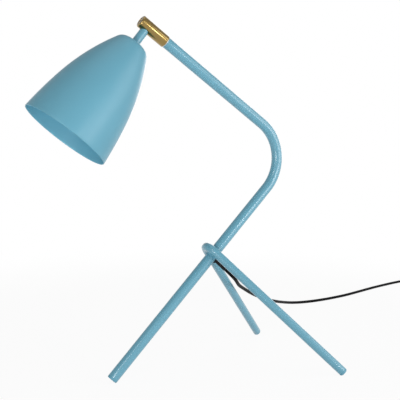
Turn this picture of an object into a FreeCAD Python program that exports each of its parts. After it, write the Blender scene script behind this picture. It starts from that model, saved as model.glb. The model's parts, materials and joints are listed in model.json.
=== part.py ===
import FreeCAD, Part
import math
import os

from FreeCAD import Vector as V

# Tripod table lamp, in millimetres, +Z up, standing on z = 0.
# The stand is symmetric about the plane y = 0, the head reaches out to -X and
# the hairpin's two legs stand towards +X. The head is turned a little about
# the arm. The origin is the middle of the lamp's footprint box, without its
# free cord.

# ---- Bent main tube: front foot, bend and arm ----
TUBE_OD = 16.0
TUBE_WALL = 1.5
LOWER_SLOPE = 46.2
LOWER_RUN = 440.8
ARM_SLOPE = 34.6
ARM_RUN = 271.0
BEND_RADIUS = 65.0
FRONT_FOOT_HEIGHT = 7.0

# ---- Hairpin tube: bend round the main tube and two rear legs ----
LEG_OD = 13.0
LEG_WALL = 1.5
LOOP_AT = 231.3
LEG_SLOPE = 47.6
LEG_SPREAD = 24.25
REAR_FOOT_HEIGHT = 6.1
LOOP_GAP = 0.1
WELD_START = 2.4
WELD_REACH = 5.4
WELD_ARC = 150.0

# ---- Foot plugs ----
PLUG_OUT = 3.6
PLUG_IN = 14.0
PLUG_INSET = 0.2
PLUG_ROUND = 1.8

# ---- Swivel between arm and head, measured along the arm from the tube's end ----
SLEEVE_OD = 18.2
SLEEVE_END = 47.0
NECK_AT = 33.9
SPINDLE_IN = 18.0
SPINDLE_OUT = 24.0
JOURNAL_R = 5.2
WIRE_BORE_R = 3.2
RUNNING_GAP = 0.05
FREE_GAP = 0.35
WASHER_THICK = 0.8
WASHER_R = 7.8
BUSH_WALL = 1.35
BUSH_END = 10.0
STOP_AT = 13.0
STOP_ROOT_R = 4.2
STOP_TURN = 150.0
DOG_R = 1.3
GRUB_R = 2.0
GRUB_SOCKET_R = 1.0
WIRE_ROOM_R = 4.0
CAP_R = 5.6
CAP_THICK = 4.0
CAP_RECESS = 0.6
CAP_SLOT = 1.2
SLEEVE_CHAMFER = 0.6
SLEEVE_ROUND = 2.6

# ---- Neck and shade, measured along the neck from the arm's axis ----
NECK_SLOPE = 51.7
HEAD_TURN = -1.6
NECK_OD = 12.4
NIPPLE_R = 4.95
NIPPLE_BORE_R = 3.5
NIPPLE_START = 5.0
THREAD_GAP = 0.1
CROWN_AT = 31.4
CROWN_FLAT_R = 14.5
SHOULDER_AT = 37.7
SHOULDER_R = 24.9
BELLY_AT = 130.0
BELLY_R = 56.4
MOUTH_AT = 189.9
MOUTH_R = 64.0
SHADE_WALL = 1.0

# ---- Lampholder inside the shade ----
LOCK_WASHER_R = 9.0
LOCK_WASHER_THICK = 0.8
NUT_ACROSS_FLATS = 14.0
NUT_THICK = 3.0
NUT_SPACE = 1.2
HOLDER_R = 19.0
HOLDER_CAP_LENGTH = 17.0
HOLDER_LENGTH = 56.0
HOLDER_WALL = 1.8
HOLDER_BOSS_R = 8.0
HOLDER_BOSS_LENGTH = 6.0
GRIP_FLUTE_COUNT = 24
GRIP_FLUTE_R = 0.9
SHELL_R = 13.35
SHELL_WALL = 0.4
SHELL_LENGTH = 27.0
SHELL_FLOOR_R = 7.0
CORE_THICK = 9.0
CORE_POCKET_R = 6.0
CORE_POCKET_DEPTH = 3.6
TERMINAL_AT = 8.5
TERMINAL_HEAD_R = 2.6
TERMINAL_SCREW_R = 1.5

# ---- Mains cord ----
CORD_D = 5.6
CORE_WIRE_D = 2.2
HEAD_WIRE_BESIDE = 1.25
HEAD_WIRE_BEND = 4.5
ENTRY_RADIUS = 8.0
EXIT_DROP = 3.5
GROMMET_NECK_R = 4.7
GROMMET_FLANGE_R = 6.4
GROMMET_FLANGE = 2.0
NOSE_LENGTH = 22.0
NOSE_BASE_R = 4.0
NOSE_TIP_R = 3.4
NOSE_LEAD = 14.0

# Free stretch after the nose's straight lead, as points chosen by hand.
CORD_ROUTE = [
    V(99.0, 6.0, 130.8),
    V(111.5, 20.0, 121.0),
    V(128.0, 42.5, 110.8),
    V(153.0, 68.5, 97.8),
    V(187.0, 99.5, 80.2),
    V(226.0, 135.0, 62.4),
    V(271.0, 174.0, 44.0),
    V(315.0, 210.5, 28.2),
    V(354.0, 240.5, 16.0),
    V(383.0, 260.0, 8.1),
    V(411.0, 268.0, 3.9),
    V(443.0, 269.5, 2.8),
    V(479.0, 272.0, 2.8),
    V(512.0, 277.5, 2.8),
    V(544.5, 284.0, 2.8),
    V(592.0, 298.5, 2.8),
    V(650.5, 317.5, 2.8),
    V(707.0, 332.0, 2.8),
    V(740.0, 339.5, 2.8),
    V(763.5, 343.5, 2.8),
    V(782.2, 338.0, 3.4),
    V(796.6, 324.1, 5.4),
]

# ---- Inline switch ----
SWITCH_LENGTH = 62.0
SWITCH_WIDTH = 27.0
SWITCH_HEIGHT = 20.0
SWITCH_SPLIT = 8.6
SWITCH_ROUND = 4.0
SWITCH_AT = V(794.0, 255.0, 0.0)
SWITCH_HEADING = -100.0
SWITCH_LEAD = 20.0
SWITCH_GRIP = 8.0
ROCKER_LENGTH = 20.0
ROCKER_WIDTH = 11.0
ROCKER_RISE = 2.6
ROCKER_DEPTH = 7.0
ROCKER_TILT = 6.0
ROCKER_GAP = 0.7
PIVOT_R = 1.5
PIVOT_REACH = 2.0
SWITCH_SCREW_R = 2.4
SWITCH_SCREW_AT = 22.5

# ---- Coil of the length put away, and the plug ----
COIL_X = 743.0
COIL_Y = 103.0
COIL_OUTER_R = 37.0
COIL_PITCH = 6.9
COIL_TURNS_A_LAYER = 1.5
COIL_LAYER_STEP = 6.8
COIL_LEAD = 14.0
LEAD_IN = [V(782.0, 169.0, 4.2), V(781.0, 137.0, 2.8)]
TAIL_ROUTE = [V(780.0, 63.0, 6.0), V(777.5, 43.0, 2.8)]
PLUG_AT = V(771.0, 13.0, 6.85)
PLUG_HEADING = -103.0
PLUG_LEAD = 14.0
PLUG_WIDTH = 35.3
PLUG_THICK = 13.7
PLUG_BODY_LENGTH = 36.0
PLUG_TAIL_WIDTH = 14.0
PLUG_SHOULDER = 14.0
PLUG_CORNER = 2.5
PLUG_RELIEF_LENGTH = 24.0
PLUG_RELIEF_BASE_R = 4.6
PLUG_RELIEF_TIP_R = 3.5
PIN_R = 2.0
PIN_LENGTH = 19.0
PIN_SPACING = 18.6
PIN_ROOT = 6.0

os.makedirs("parts", exist_ok=True)


def unit(v):
    return V(v).normalize()


def slope_direction(degrees, towards_x):
    """Unit vector in the plane y = 0 that rises by this slope towards +X or -X."""
    a = math.radians(degrees)
    return V(towards_x * math.cos(a), 0, math.sin(a))


# ---- Directions and key points, first with the front foot's centre at x = 0 ----
UP_THE_TUBE = slope_direction(LOWER_SLOPE, 1)
UP_THE_ARM = slope_direction(ARM_SLOPE, -1)
DOWN_THE_NECK = FreeCAD.Rotation(UP_THE_ARM, HEAD_TURN).multVec(slope_direction(NECK_SLOPE, 1) * -1)
ACROSS_THE_HEAD = unit(DOWN_THE_NECK.cross(UP_THE_ARM))
DOWN_THE_LEGS = slope_direction(LEG_SLOPE, -1) * -1
OUT_OF_THE_TUBE = V(UP_THE_TUBE.z, 0, -UP_THE_TUBE.x)

TUBE_R = TUBE_OD / 2
LEG_R = LEG_OD / 2
TUBE_BORE_R = TUBE_R - TUBE_WALL
LEG_BORE_R = LEG_R - LEG_WALL
SLEEVE_R = SLEEVE_OD / 2
CORD_R = CORD_D / 2
LOOP_RADIUS = TUBE_R + LOOP_GAP + LEG_R


def leg_direction(side):
    """Down one rear leg; side is -1 for the leg at -Y and 1 for the leg at +Y."""
    spread = math.radians(LEG_SPREAD)
    return DOWN_THE_LEGS * math.cos(spread) + V(0, side * math.sin(spread), 0)


def leg_start(side):
    """From the loop's centre to where one leg leaves the loop's bend."""
    spread = math.radians(LEG_SPREAD)
    outward = V(0, side * math.cos(spread), 0) - DOWN_THE_LEGS * math.sin(spread)
    return outward * LOOP_RADIUS


LOOP_RISE = FRONT_FOOT_HEIGHT + UP_THE_TUBE.z * LOOP_AT
LEG_RUN = (LOOP_RISE + leg_start(1).z - REAR_FOOT_HEIGHT) / -leg_direction(1).z


def left_reach():
    """x of the shade's rim furthest from the front foot, in the foot's frame."""
    along = UP_THE_TUBE * LOWER_RUN + UP_THE_ARM * (ARM_RUN + NECK_AT) + DOWN_THE_NECK * MOUTH_AT
    return along.x - MOUTH_R * math.sqrt(1 - DOWN_THE_NECK.x * DOWN_THE_NECK.x)


def right_reach():
    """x of a rear plug's rounded rim, in the foot's frame."""
    d = leg_direction(1)
    end = UP_THE_TUBE * LOOP_AT + leg_start(1) + d * (LEG_RUN + PLUG_OUT - PLUG_ROUND)
    across = math.sqrt(1 - d.x * d.x)
    return end.x + (LEG_R - PLUG_INSET - PLUG_ROUND) * across + PLUG_ROUND


FOOT_FRONT = V(-(left_reach() + right_reach()) / 2, 0, FRONT_FOOT_HEIGHT)
LOOP_CENTRE = FOOT_FRONT + UP_THE_TUBE * LOOP_AT
BEND_CORNER = FOOT_FRONT + UP_THE_TUBE * LOWER_RUN
ARM_END = BEND_CORNER + UP_THE_ARM * ARM_RUN
NECK_ROOT = ARM_END + UP_THE_ARM * NECK_AT
CORD_HOLE = LOOP_CENTRE - UP_THE_TUBE * EXIT_DROP


# ---- Shape helpers ----
def placed(shape, origin, z_axis, x_hint):
    """Moves a shape drawn on its own z axis so that this axis lies at origin along z_axis."""
    z = unit(z_axis)
    y = unit(z.cross(x_hint))
    x = y.cross(z)
    frame = FreeCAD.Matrix(x.x, y.x, z.x, origin.x, x.y, y.y, z.y, origin.y, x.z, y.z, z.z, origin.z)
    moved = shape.copy()
    moved.transformShape(frame)
    return moved


def on_arm(shape):
    """z runs up the arm from the tube's end, x points to the arm's upper side."""
    return placed(shape, ARM_END, UP_THE_ARM, DOWN_THE_NECK * -1)


def on_neck(shape):
    """z runs down the neck from the arm's axis, x points back along the arm."""
    return placed(shape, NECK_ROOT, DOWN_THE_NECK, UP_THE_ARM * -1)


def cylinder(r, low, high):
    return Part.makeCylinder(r, high - low, V(0, 0, low))


def ring(inner_r, outer_r, low, high):
    return cylinder(outer_r, low, high).cut(cylinder(inner_r, low - 1, high + 1))


def turned(points):
    """A solid of revolution about z from an outline of (radius, z) points."""
    outline = [V(r, 0, z) for r, z in points]
    face = Part.Face(Part.makePolygon(outline + outline[:1]))
    return face.revolve(V(0, 0, 0), V(0, 0, 1), 360)


def arc_middle(start, tangent, end):
    """The middle of the arc that leaves start along tangent and reaches end."""
    chord = end - start
    along = unit(chord)
    side = unit(tangent) - along * unit(tangent).dot(along)
    if side.Length < 1e-9:
        return None
    angle = math.acos(max(-1.0, min(1.0, unit(tangent).dot(along))))
    return (start + end) * 0.5 + unit(side) * (chord.Length / 2 * math.tan(angle / 2))


def tangent_arc(start, tangent, end):
    """An arc edge from start along tangent to end, and its end tangent."""
    middle = arc_middle(start, tangent, end)
    if middle is None:
        return Part.makeLine(start, end), unit(tangent)
    along = unit(end - start)
    end_tangent = along * (2 * unit(tangent).dot(along)) - unit(tangent)
    return Part.Arc(start, middle, end).toShape(), end_tangent


def rounded_route(points, label):
    """Straight runs joined by tangent arcs, each as large as its two runs allow."""
    edges = []
    radii = []
    last = points[0]
    length = 0.0
    for before, corner, after in zip(points, points[1:], points[2:]):
        run_in = corner - before
        run_out = after - corner
        turn = run_in.getAngle(run_out)
        reach = 0.45 * min(run_in.Length, run_out.Length)
        radius = reach / math.tan(turn / 2)
        radii.append(radius)
        start = corner - unit(run_in) * reach
        end = corner + unit(run_out) * reach
        edges.append(Part.makeLine(last, start))
        edges.append(tangent_arc(start, run_in, end)[0])
        length += (start - last).Length + radius * turn
        last = end
    edges.append(Part.makeLine(last, points[-1]))
    length += (points[-1] - last).Length
    print(label, "length %.1f" % length, "least radius %.1f" % min(radii))
    return Part.Wire(edges), length


def swept(wire, r, label, length=None):
    """A round solid along a wire, with its volume set against section times length."""
    first = wire.OrderedEdges[0]
    start = first.valueAt(first.FirstParameter)
    along = first.tangentAt(first.FirstParameter)
    profile = Part.Wire([Part.makeCircle(r, start, along)])
    solid = wire.makePipeShell([profile], True, False)
    if length:
        share = solid.Volume / (math.pi * r * r * length)
        print(label, "volume share %.4f" % share, "valid", solid.isValid())
    return solid


def save(shape, node):
    """Writes one sub-part; a compound holds the separate solids of a group."""
    shape.exportStep(os.path.join("parts", node + ".step"))
    print("%-20s solids %d volume %.0f valid %s" % (node, len(shape.Solids), shape.Volume, shape.isValid()))


# ---- Stand ----
def main_path(start_offset, end_offset):
    """The main tube's centre line, from the foot to the arm's end, as line, arc and line."""
    corner = math.pi - UP_THE_TUBE.getAngle(UP_THE_ARM)
    reach = BEND_RADIUS / math.tan(corner / 2)
    start = FOOT_FRONT + UP_THE_TUBE * start_offset
    bend_start = BEND_CORNER - UP_THE_TUBE * reach
    bend_end = BEND_CORNER + UP_THE_ARM * reach
    bend, _ = tangent_arc(bend_start, UP_THE_TUBE, bend_end)
    end = ARM_END - UP_THE_ARM * end_offset
    return Part.Wire([Part.makeLine(start, bend_start), bend, Part.makeLine(bend_end, end)])


def make_main_tube():
    tube = swept(main_path(0, 0), TUBE_R, "main tube").cut(swept(main_path(0, 0), TUBE_BORE_R, "bore"))
    hole = Part.makeCylinder(GROMMET_NECK_R, TUBE_OD, CORD_HOLE, OUT_OF_THE_TUBE)
    return tube.cut(hole)


def legs_path():
    ends = [LOOP_CENTRE + leg_start(side) for side in (-1, 1)]
    feet = [end + leg_direction(side) * LEG_RUN for end, side in zip(ends, (-1, 1))]
    crest = LOOP_CENTRE - DOWN_THE_LEGS * LOOP_RADIUS
    loop = Part.Arc(ends[0], crest, ends[1]).toShape()
    return Part.Wire([Part.makeLine(feet[0], ends[0]), loop, Part.makeLine(ends[1], feet[1])])


def make_rear_legs():
    outer = swept(legs_path(), LEG_R, "rear legs")
    return outer.cut(swept(legs_path(), LEG_BORE_R, "leg bore"))


def make_loop_welds(legs_solid):
    """A fillet bead on each side of the loop, between the hairpin and the main tube."""
    beads = []
    for side in (-1, 1):
        outline = [
            V(TUBE_R, 0, side * WELD_START),
            V(TUBE_R, 0, side * WELD_REACH),
            V(TUBE_R + LOOP_GAP + LEG_R * 0.35, 0, side * WELD_START),
        ]
        face = Part.Face(Part.makePolygon(outline + outline[:1]))
        bead = face.revolve(V(0, 0, 0), V(0, 0, 1), WELD_ARC)
        bead.rotate(V(0, 0, 0), V(0, 0, 1), -WELD_ARC / 2)
        beads.append(placed(bead, LOOP_CENTRE, UP_THE_TUBE, DOWN_THE_LEGS * -1).cut(legs_solid))
    return Part.makeCompound([solid for bead in beads for solid in bead.Solids])


def make_foot_plug(end, direction, outer_r, bore_r):
    """A ribless end plug: a round head outside the tube, cut flat where it stands."""
    head = cylinder(outer_r - PLUG_INSET, 0, PLUG_OUT)
    head = head.makeFillet(PLUG_ROUND, [e for e in head.Edges if abs(e.CenterOfMass.z - PLUG_OUT) < 0.01])
    stem = turned([(0, -PLUG_IN), (bore_r - 1, -PLUG_IN), (bore_r, 1 - PLUG_IN), (bore_r, 0), (0, 0)])
    plug = placed(head.fuse(stem).removeSplitter(), end, direction, V(0, 1, 0))
    below = Part.makeBox(8 * outer_r, 8 * outer_r, outer_r, end - V(4 * outer_r, 4 * outer_r, end.z + outer_r))
    return plug.cut(below)


# ---- Swivel head ----
def make_spindle():
    """Pressed into the arm; its journal carries the head and its groove limits the turn."""
    body = turned(
        [
            (WIRE_BORE_R, -SPINDLE_IN),
            (TUBE_BORE_R - 0.8, -SPINDLE_IN),
            (TUBE_BORE_R, 0.8 - SPINDLE_IN),
            (TUBE_BORE_R, 0),
            (JOURNAL_R, 0),
            (JOURNAL_R, SPINDLE_OUT - 0.6),
            (JOURNAL_R - 0.6, SPINDLE_OUT),
            (WIRE_BORE_R, SPINDLE_OUT),
        ]
    )
    half_width = DOG_R + FREE_GAP
    dog_angle = math.degrees(math.asin(half_width / STOP_ROOT_R))
    sweep = 2 * (STOP_TURN + dog_angle)
    outline = [
        V(STOP_ROOT_R, 0, STOP_AT - half_width),
        V(JOURNAL_R + 1, 0, STOP_AT - half_width),
        V(JOURNAL_R + 1, 0, STOP_AT + half_width),
        V(STOP_ROOT_R, 0, STOP_AT + half_width),
    ]
    groove = Part.Face(Part.makePolygon(outline + outline[:1])).revolve(V(0, 0, 0), V(0, 0, 1), sweep)
    groove.rotate(V(0, 0, 0), V(0, 0, 1), 90 - sweep / 2)
    return on_arm(body.cut(groove))


def make_spindle_washer():
    return on_arm(ring(JOURNAL_R + RUNNING_GAP, WASHER_R, 0, WASHER_THICK))


SLEEVE_START = WASHER_THICK + FREE_GAP
BUSH_R = JOURNAL_R + RUNNING_GAP + BUSH_WALL


def make_swivel_bush():
    return on_arm(ring(JOURNAL_R + RUNNING_GAP, BUSH_R, SLEEVE_START, BUSH_END))


def make_brass_sleeve():
    """Turned brass: bush seat, journal bore, wire room, tapped neck hole and cap recess."""
    cap_floor = SLEEVE_END - CAP_RECESS - CAP_THICK
    room_floor = SPINDLE_OUT + 1
    body = turned(
        [
            (BUSH_R, SLEEVE_START),
            (SLEEVE_R - SLEEVE_CHAMFER, SLEEVE_START),
            (SLEEVE_R, SLEEVE_START + SLEEVE_CHAMFER),
            (SLEEVE_R, SLEEVE_END),
            (CAP_R, SLEEVE_END),
            (CAP_R, cap_floor),
            (WIRE_ROOM_R, cap_floor),
            (WIRE_ROOM_R, room_floor),
            (JOURNAL_R + RUNNING_GAP, room_floor),
            (JOURNAL_R + RUNNING_GAP, BUSH_END),
            (BUSH_R, BUSH_END),
        ]
    )
    rim = [e for e in body.Edges if e.CenterOfMass.z > SLEEVE_END - 0.01 and e.Length > 2 * math.pi * CAP_R + 1]
    body = body.makeFillet(SLEEVE_ROUND, rim)
    grub_hole = Part.makeCylinder(GRUB_R, SLEEVE_OD, V(0, 0, STOP_AT), V(0, 1, 0))
    neck_hole = on_neck(cylinder(NIPPLE_R, 0, SLEEVE_OD))
    return on_arm(body.cut(grub_hole)).cut(neck_hole)


def make_stop_screw():
    """Grub screw with a dog point that runs in the spindle's groove."""
    top = SLEEVE_R - 0.5
    seat = JOURNAL_R + FREE_GAP
    thread = Part.makeCylinder(GRUB_R, top - seat, V(0, seat, STOP_AT), V(0, 1, 0))
    dog = Part.makeCylinder(DOG_R, seat - STOP_ROOT_R - FREE_GAP, V(0, STOP_ROOT_R + FREE_GAP, STOP_AT), V(0, 1, 0))
    socket = Part.makeCylinder(GRUB_SOCKET_R, 1.4, V(0, top - 1.4, STOP_AT), V(0, 1, 0))
    return on_arm(thread.fuse(dog).cut(socket))


def make_end_cap():
    low = SLEEVE_END - CAP_RECESS - CAP_THICK
    high = SLEEVE_END - CAP_RECESS
    slot = Part.makeBox(CAP_SLOT, 2 * CAP_R, CAP_SLOT, V(-CAP_SLOT / 2, -CAP_R, high - CAP_SLOT))
    return on_arm(cylinder(CAP_R, low, high).cut(slot))


def make_neck_tube():
    tube = on_neck(ring(NIPPLE_R + THREAD_GAP, NECK_OD / 2, 0, CROWN_AT))
    return tube.cut(on_arm(cylinder(SLEEVE_R, -SLEEVE_OD, 2 * SLEEVE_END)))


CROWN_INSIDE = CROWN_AT + SHADE_WALL
NUT_START = CROWN_INSIDE + LOCK_WASHER_THICK
HOLDER_START = NUT_START + NUT_THICK + NUT_SPACE
NIPPLE_END = HOLDER_START + HOLDER_BOSS_LENGTH


def make_neck_nipple():
    return on_neck(ring(NIPPLE_BORE_R, NIPPLE_R, NIPPLE_START, NIPPLE_END))


def shade_profile(inset):
    """The bell's outline in (radius, z) as three tangent arcs, set in by a wall."""
    points = [V(CROWN_FLAT_R, 0, CROWN_AT), V(SHOULDER_R, 0, SHOULDER_AT)]
    points += [V(BELLY_R, 0, BELLY_AT), V(MOUTH_R, 0, MOUTH_AT)]
    tangent = V(1, 0, 0)
    tangents = [tangent]
    for start, end in zip(points, points[1:]):
        _, tangent = tangent_arc(start, tangent, end)
        tangents.append(tangent)
    moved = [p + V(-t.z, 0, t.x) * inset for p, t in zip(points, tangents)]
    edges = [tangent_arc(a, t, b)[0] for a, t, b in zip(moved, tangents, moved[1:])]
    return moved, edges


def make_shade():
    """Spun bell with a flat crown, open at the mouth."""
    outer, outer_edges = shade_profile(0)
    inner, inner_edges = shade_profile(SHADE_WALL)
    hole = NIPPLE_R + THREAD_GAP
    edges = [Part.makeLine(V(hole, 0, CROWN_AT), outer[0])] + outer_edges
    edges += [Part.makeLine(outer[-1], inner[-1])] + inner_edges[::-1]
    edges += [Part.makeLine(inner[0], V(hole, 0, CROWN_INSIDE))]
    edges += [Part.makeLine(V(hole, 0, CROWN_INSIDE), V(hole, 0, CROWN_AT))]
    face = Part.Face(Part.Wire(Part.__sortEdges__(edges)))
    return on_neck(face.revolve(V(0, 0, 0), V(0, 0, 1), 360))


def make_lock_washer():
    return on_neck(ring(NIPPLE_R + THREAD_GAP, LOCK_WASHER_R, CROWN_INSIDE, NUT_START))


def make_lock_nut():
    corner = NUT_ACROSS_FLATS / 2 / math.cos(math.pi / 6)
    corners = [V(corner * math.cos(a), corner * math.sin(a), NUT_START) for a in hexagon_angles()]
    prism = Part.Face(Part.makePolygon(corners + corners[:1])).extrude(V(0, 0, NUT_THICK))
    return on_neck(prism.cut(cylinder(NIPPLE_R, 0, HOLDER_START)))


def hexagon_angles():
    return [math.radians(60 * k) for k in range(6)]


# ---- Lampholder ----
HOLDER_SPLIT = HOLDER_START + HOLDER_CAP_LENGTH
HOLDER_END = HOLDER_START + HOLDER_LENGTH
HOLDER_BORE_R = HOLDER_R - HOLDER_WALL
CORE_START = HOLDER_SPLIT + 1.5
SHELL_START = CORE_START + CORE_THICK
SHELL_END = SHELL_START + SHELL_LENGTH
CORE_TOP = SHELL_START - 0.2
CONTACT_FOOT = CORE_TOP - CORE_POCKET_DEPTH


def make_holder_cap():
    """Domed cap with a threaded boss that takes the nipple."""
    shoulder = HOLDER_START + 9.5
    outer_start, outer_end = V(HOLDER_BOSS_R + 3, 0, HOLDER_START), V(HOLDER_R, 0, shoulder)
    inner_start = V(HOLDER_BOSS_R + 2, 0, HOLDER_START + HOLDER_WALL)
    inner_end = V(HOLDER_BORE_R, 0, shoulder)
    outer_dome, _ = tangent_arc(outer_end, V(0, 0, -1), outer_start)
    inner_dome, _ = tangent_arc(inner_end, V(0, 0, -1), inner_start)
    boss_end = HOLDER_START + HOLDER_BOSS_LENGTH
    edges = [
        Part.makeLine(V(NIPPLE_R, 0, HOLDER_START), outer_start),
        outer_dome,
        Part.makeLine(outer_end, V(HOLDER_R, 0, HOLDER_SPLIT)),
        Part.makeLine(V(HOLDER_R, 0, HOLDER_SPLIT), V(HOLDER_BORE_R, 0, HOLDER_SPLIT)),
        Part.makeLine(V(HOLDER_BORE_R, 0, HOLDER_SPLIT), inner_end),
        inner_dome,
        Part.makeLine(inner_start, V(HOLDER_BOSS_R, 0, inner_start.z)),
        Part.makeLine(V(HOLDER_BOSS_R, 0, inner_start.z), V(HOLDER_BOSS_R, 0, boss_end)),
        Part.makeLine(V(HOLDER_BOSS_R, 0, boss_end), V(NIPPLE_R, 0, boss_end)),
        Part.makeLine(V(NIPPLE_R, 0, boss_end), V(NIPPLE_R, 0, HOLDER_START)),
    ]
    face = Part.Face(Part.Wire(Part.__sortEdges__(edges)))
    return on_neck(face.revolve(V(0, 0, 0), V(0, 0, 1), 360))


def make_holder_skirt():
    """Barrel with a fluted grip, screwed to the cap; its lip keeps the shell in."""
    barrel = turned(
        [
            (HOLDER_BORE_R, HOLDER_SPLIT),
            (HOLDER_R, HOLDER_SPLIT),
            (HOLDER_R, HOLDER_SPLIT + 5),
            (HOLDER_R - 0.8, HOLDER_SPLIT + 6),
            (HOLDER_R - 1.4, HOLDER_END - 1),
            (HOLDER_R - 2.4, HOLDER_END),
            (SHELL_R + SHELL_WALL + 0.6, HOLDER_END),
            (SHELL_R + SHELL_WALL + 0.6, SHELL_END + 0.4),
            (HOLDER_BORE_R - 1.2, SHELL_END + 0.4),
            (HOLDER_BORE_R - 1.2, SHELL_START),
            (HOLDER_BORE_R, SHELL_START),
        ]
    )
    flutes = []
    for k in range(GRIP_FLUTE_COUNT):
        a = 2 * math.pi * k / GRIP_FLUTE_COUNT
        foot = V((HOLDER_R - 0.3) * math.cos(a), (HOLDER_R - 0.3) * math.sin(a), HOLDER_SPLIT + 7)
        flutes.append(Part.makeCylinder(GRIP_FLUTE_R, 14, foot))
    return on_neck(barrel.cut(Part.makeCompound(flutes)))


def make_holder_core():
    """Insulating core with two terminal screw holes and a pocket for the centre contact."""
    core = turned(
        [
            (0, CORE_START),
            (HOLDER_BORE_R - 0.1, CORE_START),
            (HOLDER_BORE_R - 0.1, CORE_TOP),
            (CORE_POCKET_R, CORE_TOP),
            (CORE_POCKET_R, CONTACT_FOOT),
            (0, CONTACT_FOOT),
        ]
    )
    holes = [
        Part.makeCylinder(TERMINAL_SCREW_R, CORE_THICK, V(0, side * TERMINAL_AT, CORE_START - 1)) for side in (-1, 1)
    ]
    return on_neck(core.cut(Part.makeCompound(holes)))


def make_terminal_screws():
    screws = []
    for side in (-1, 1):
        foot = V(0, side * TERMINAL_AT, CORE_START)
        head = Part.makeCylinder(TERMINAL_HEAD_R, 1.6, foot - V(0, 0, 1.6))
        shank = Part.makeCylinder(TERMINAL_SCREW_R, CORE_THICK - 2, foot)
        slot = Part.makeBox(0.7, 2 * TERMINAL_HEAD_R, 0.7, foot - V(0.35, TERMINAL_HEAD_R, 1.6))
        screws.append(head.fuse(shank).cut(slot))
    return on_neck(Part.makeCompound(screws))


def make_socket_shell():
    """Thin screw shell with a closed floor that has a hole for the centre contact."""
    shell = turned(
        [
            (SHELL_FLOOR_R, SHELL_START),
            (SHELL_R + SHELL_WALL, SHELL_START),
            (SHELL_R + SHELL_WALL, SHELL_END),
            (SHELL_R, SHELL_END),
            (SHELL_R, SHELL_START + SHELL_WALL),
            (SHELL_FLOOR_R, SHELL_START + SHELL_WALL),
        ]
    )
    return on_neck(shell)


def make_centre_contact():
    """Rivet and sprung tongue in the core's pocket."""
    rivet = cylinder(2.4, CONTACT_FOOT, CONTACT_FOOT + 1.6)
    strip = Part.makeBox(4, 9, 0.5, V(-2, -4.5, CONTACT_FOOT + 1.2))
    tip = cylinder(1.9, CONTACT_FOOT + 1.6, CONTACT_FOOT + 3.4)
    return on_neck(rivet.fuse(strip).fuse(tip).removeSplitter())


# ---- Wiring inside the lamp ----
def make_inner_cord():
    """The sheathed cord inside the tube, from the grommet's hole to the arm's end."""
    edge_start = CORD_HOLE + OUT_OF_THE_TUBE * ENTRY_RADIUS
    edge_end = CORD_HOLE + UP_THE_TUBE * ENTRY_RADIUS
    entry, _ = tangent_arc(edge_start, OUT_OF_THE_TUBE * -1, edge_end)
    offset = (edge_end - FOOT_FRONT).dot(UP_THE_TUBE)
    rest = main_path(offset, SPINDLE_IN + 2)
    return swept(Part.Wire([entry] + rest.OrderedEdges), CORD_R, "inner cord")


def make_head_wires():
    """Two core wires from the spindle's bore round the corner to the terminals."""
    wires = []
    corner = math.pi - UP_THE_ARM.getAngle(DOWN_THE_NECK)
    reach = HEAD_WIRE_BEND / math.tan(corner / 2)
    spread_at = NIPPLE_END + 1
    for side in (-1, 1):
        beside = ACROSS_THE_HEAD * (side * HEAD_WIRE_BESIDE)
        start = ARM_END - UP_THE_ARM * (SPINDLE_IN - 1) + beside
        bend_start = NECK_ROOT - UP_THE_ARM * reach + beside
        bend_end = NECK_ROOT + DOWN_THE_NECK * reach + beside
        arc, _ = tangent_arc(bend_start, UP_THE_ARM, bend_end)
        fan = NECK_ROOT + DOWN_THE_NECK * spread_at + beside
        out = NECK_ROOT + DOWN_THE_NECK * (CORE_START - 1.6) + ACROSS_THE_HEAD * (side * TERMINAL_AT)
        half = (fan + out) * 0.5
        first, tangent = tangent_arc(fan, DOWN_THE_NECK, half)
        second, _ = tangent_arc(half, tangent, out)
        path = [Part.makeLine(start, bend_start), arc, Part.makeLine(bend_end, fan), first, second]
        wires.append(swept(Part.Wire(path), CORE_WIRE_D / 2, "head wire"))
    return Part.makeCompound(wires)


# ---- Free cord ----
NOSE_START = TUBE_R + GROMMET_FLANGE
EXIT = CORD_HOLE + OUT_OF_THE_TUBE * (NOSE_START + NOSE_LENGTH)


def make_grommet():
    """Rubber bush in the tube's hole, with a flange and a tapered nose."""
    seat = TUBE_BORE_R + 0.2
    bush = turned(
        [
            (CORD_R, TUBE_R + 0.05),
            (CORD_R + 0.3, seat),
            (GROMMET_NECK_R, seat),
            (GROMMET_NECK_R, TUBE_R - 1.4),
            (GROMMET_FLANGE_R, TUBE_R - 1.4),
            (GROMMET_FLANGE_R, NOSE_START - 0.5),
            (GROMMET_FLANGE_R - 0.5, NOSE_START),
            (NOSE_BASE_R, NOSE_START),
            (NOSE_TIP_R, NOSE_START + NOSE_LENGTH),
            (CORD_R, NOSE_START + NOSE_LENGTH),
        ]
    )
    bush = placed(bush, CORD_HOLE, OUT_OF_THE_TUBE, UP_THE_TUBE)
    wall = Part.makeCylinder(TUBE_R, 4 * TUBE_OD, CORD_HOLE - UP_THE_TUBE * 2 * TUBE_OD, UP_THE_TUBE)
    bore = Part.makeCylinder(TUBE_BORE_R, 4 * TUBE_OD, CORD_HOLE - UP_THE_TUBE * 2 * TUBE_OD, UP_THE_TUBE)
    hole = Part.makeCylinder(GROMMET_NECK_R, TUBE_OD, CORD_HOLE, OUT_OF_THE_TUBE)
    return bush.cut(wall.cut(hole)).cut(bore)


def make_cord_lead():
    """The cord inside the grommet, from the tube's surface to the nose's tip."""
    start = CORD_HOLE + OUT_OF_THE_TUBE * ENTRY_RADIUS
    return Part.makeCylinder(CORD_R, NOSE_START + NOSE_LENGTH - ENTRY_RADIUS, start, OUT_OF_THE_TUBE)


def heading(degrees):
    a = math.radians(degrees)
    return V(math.cos(a), math.sin(a), 0)


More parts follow.
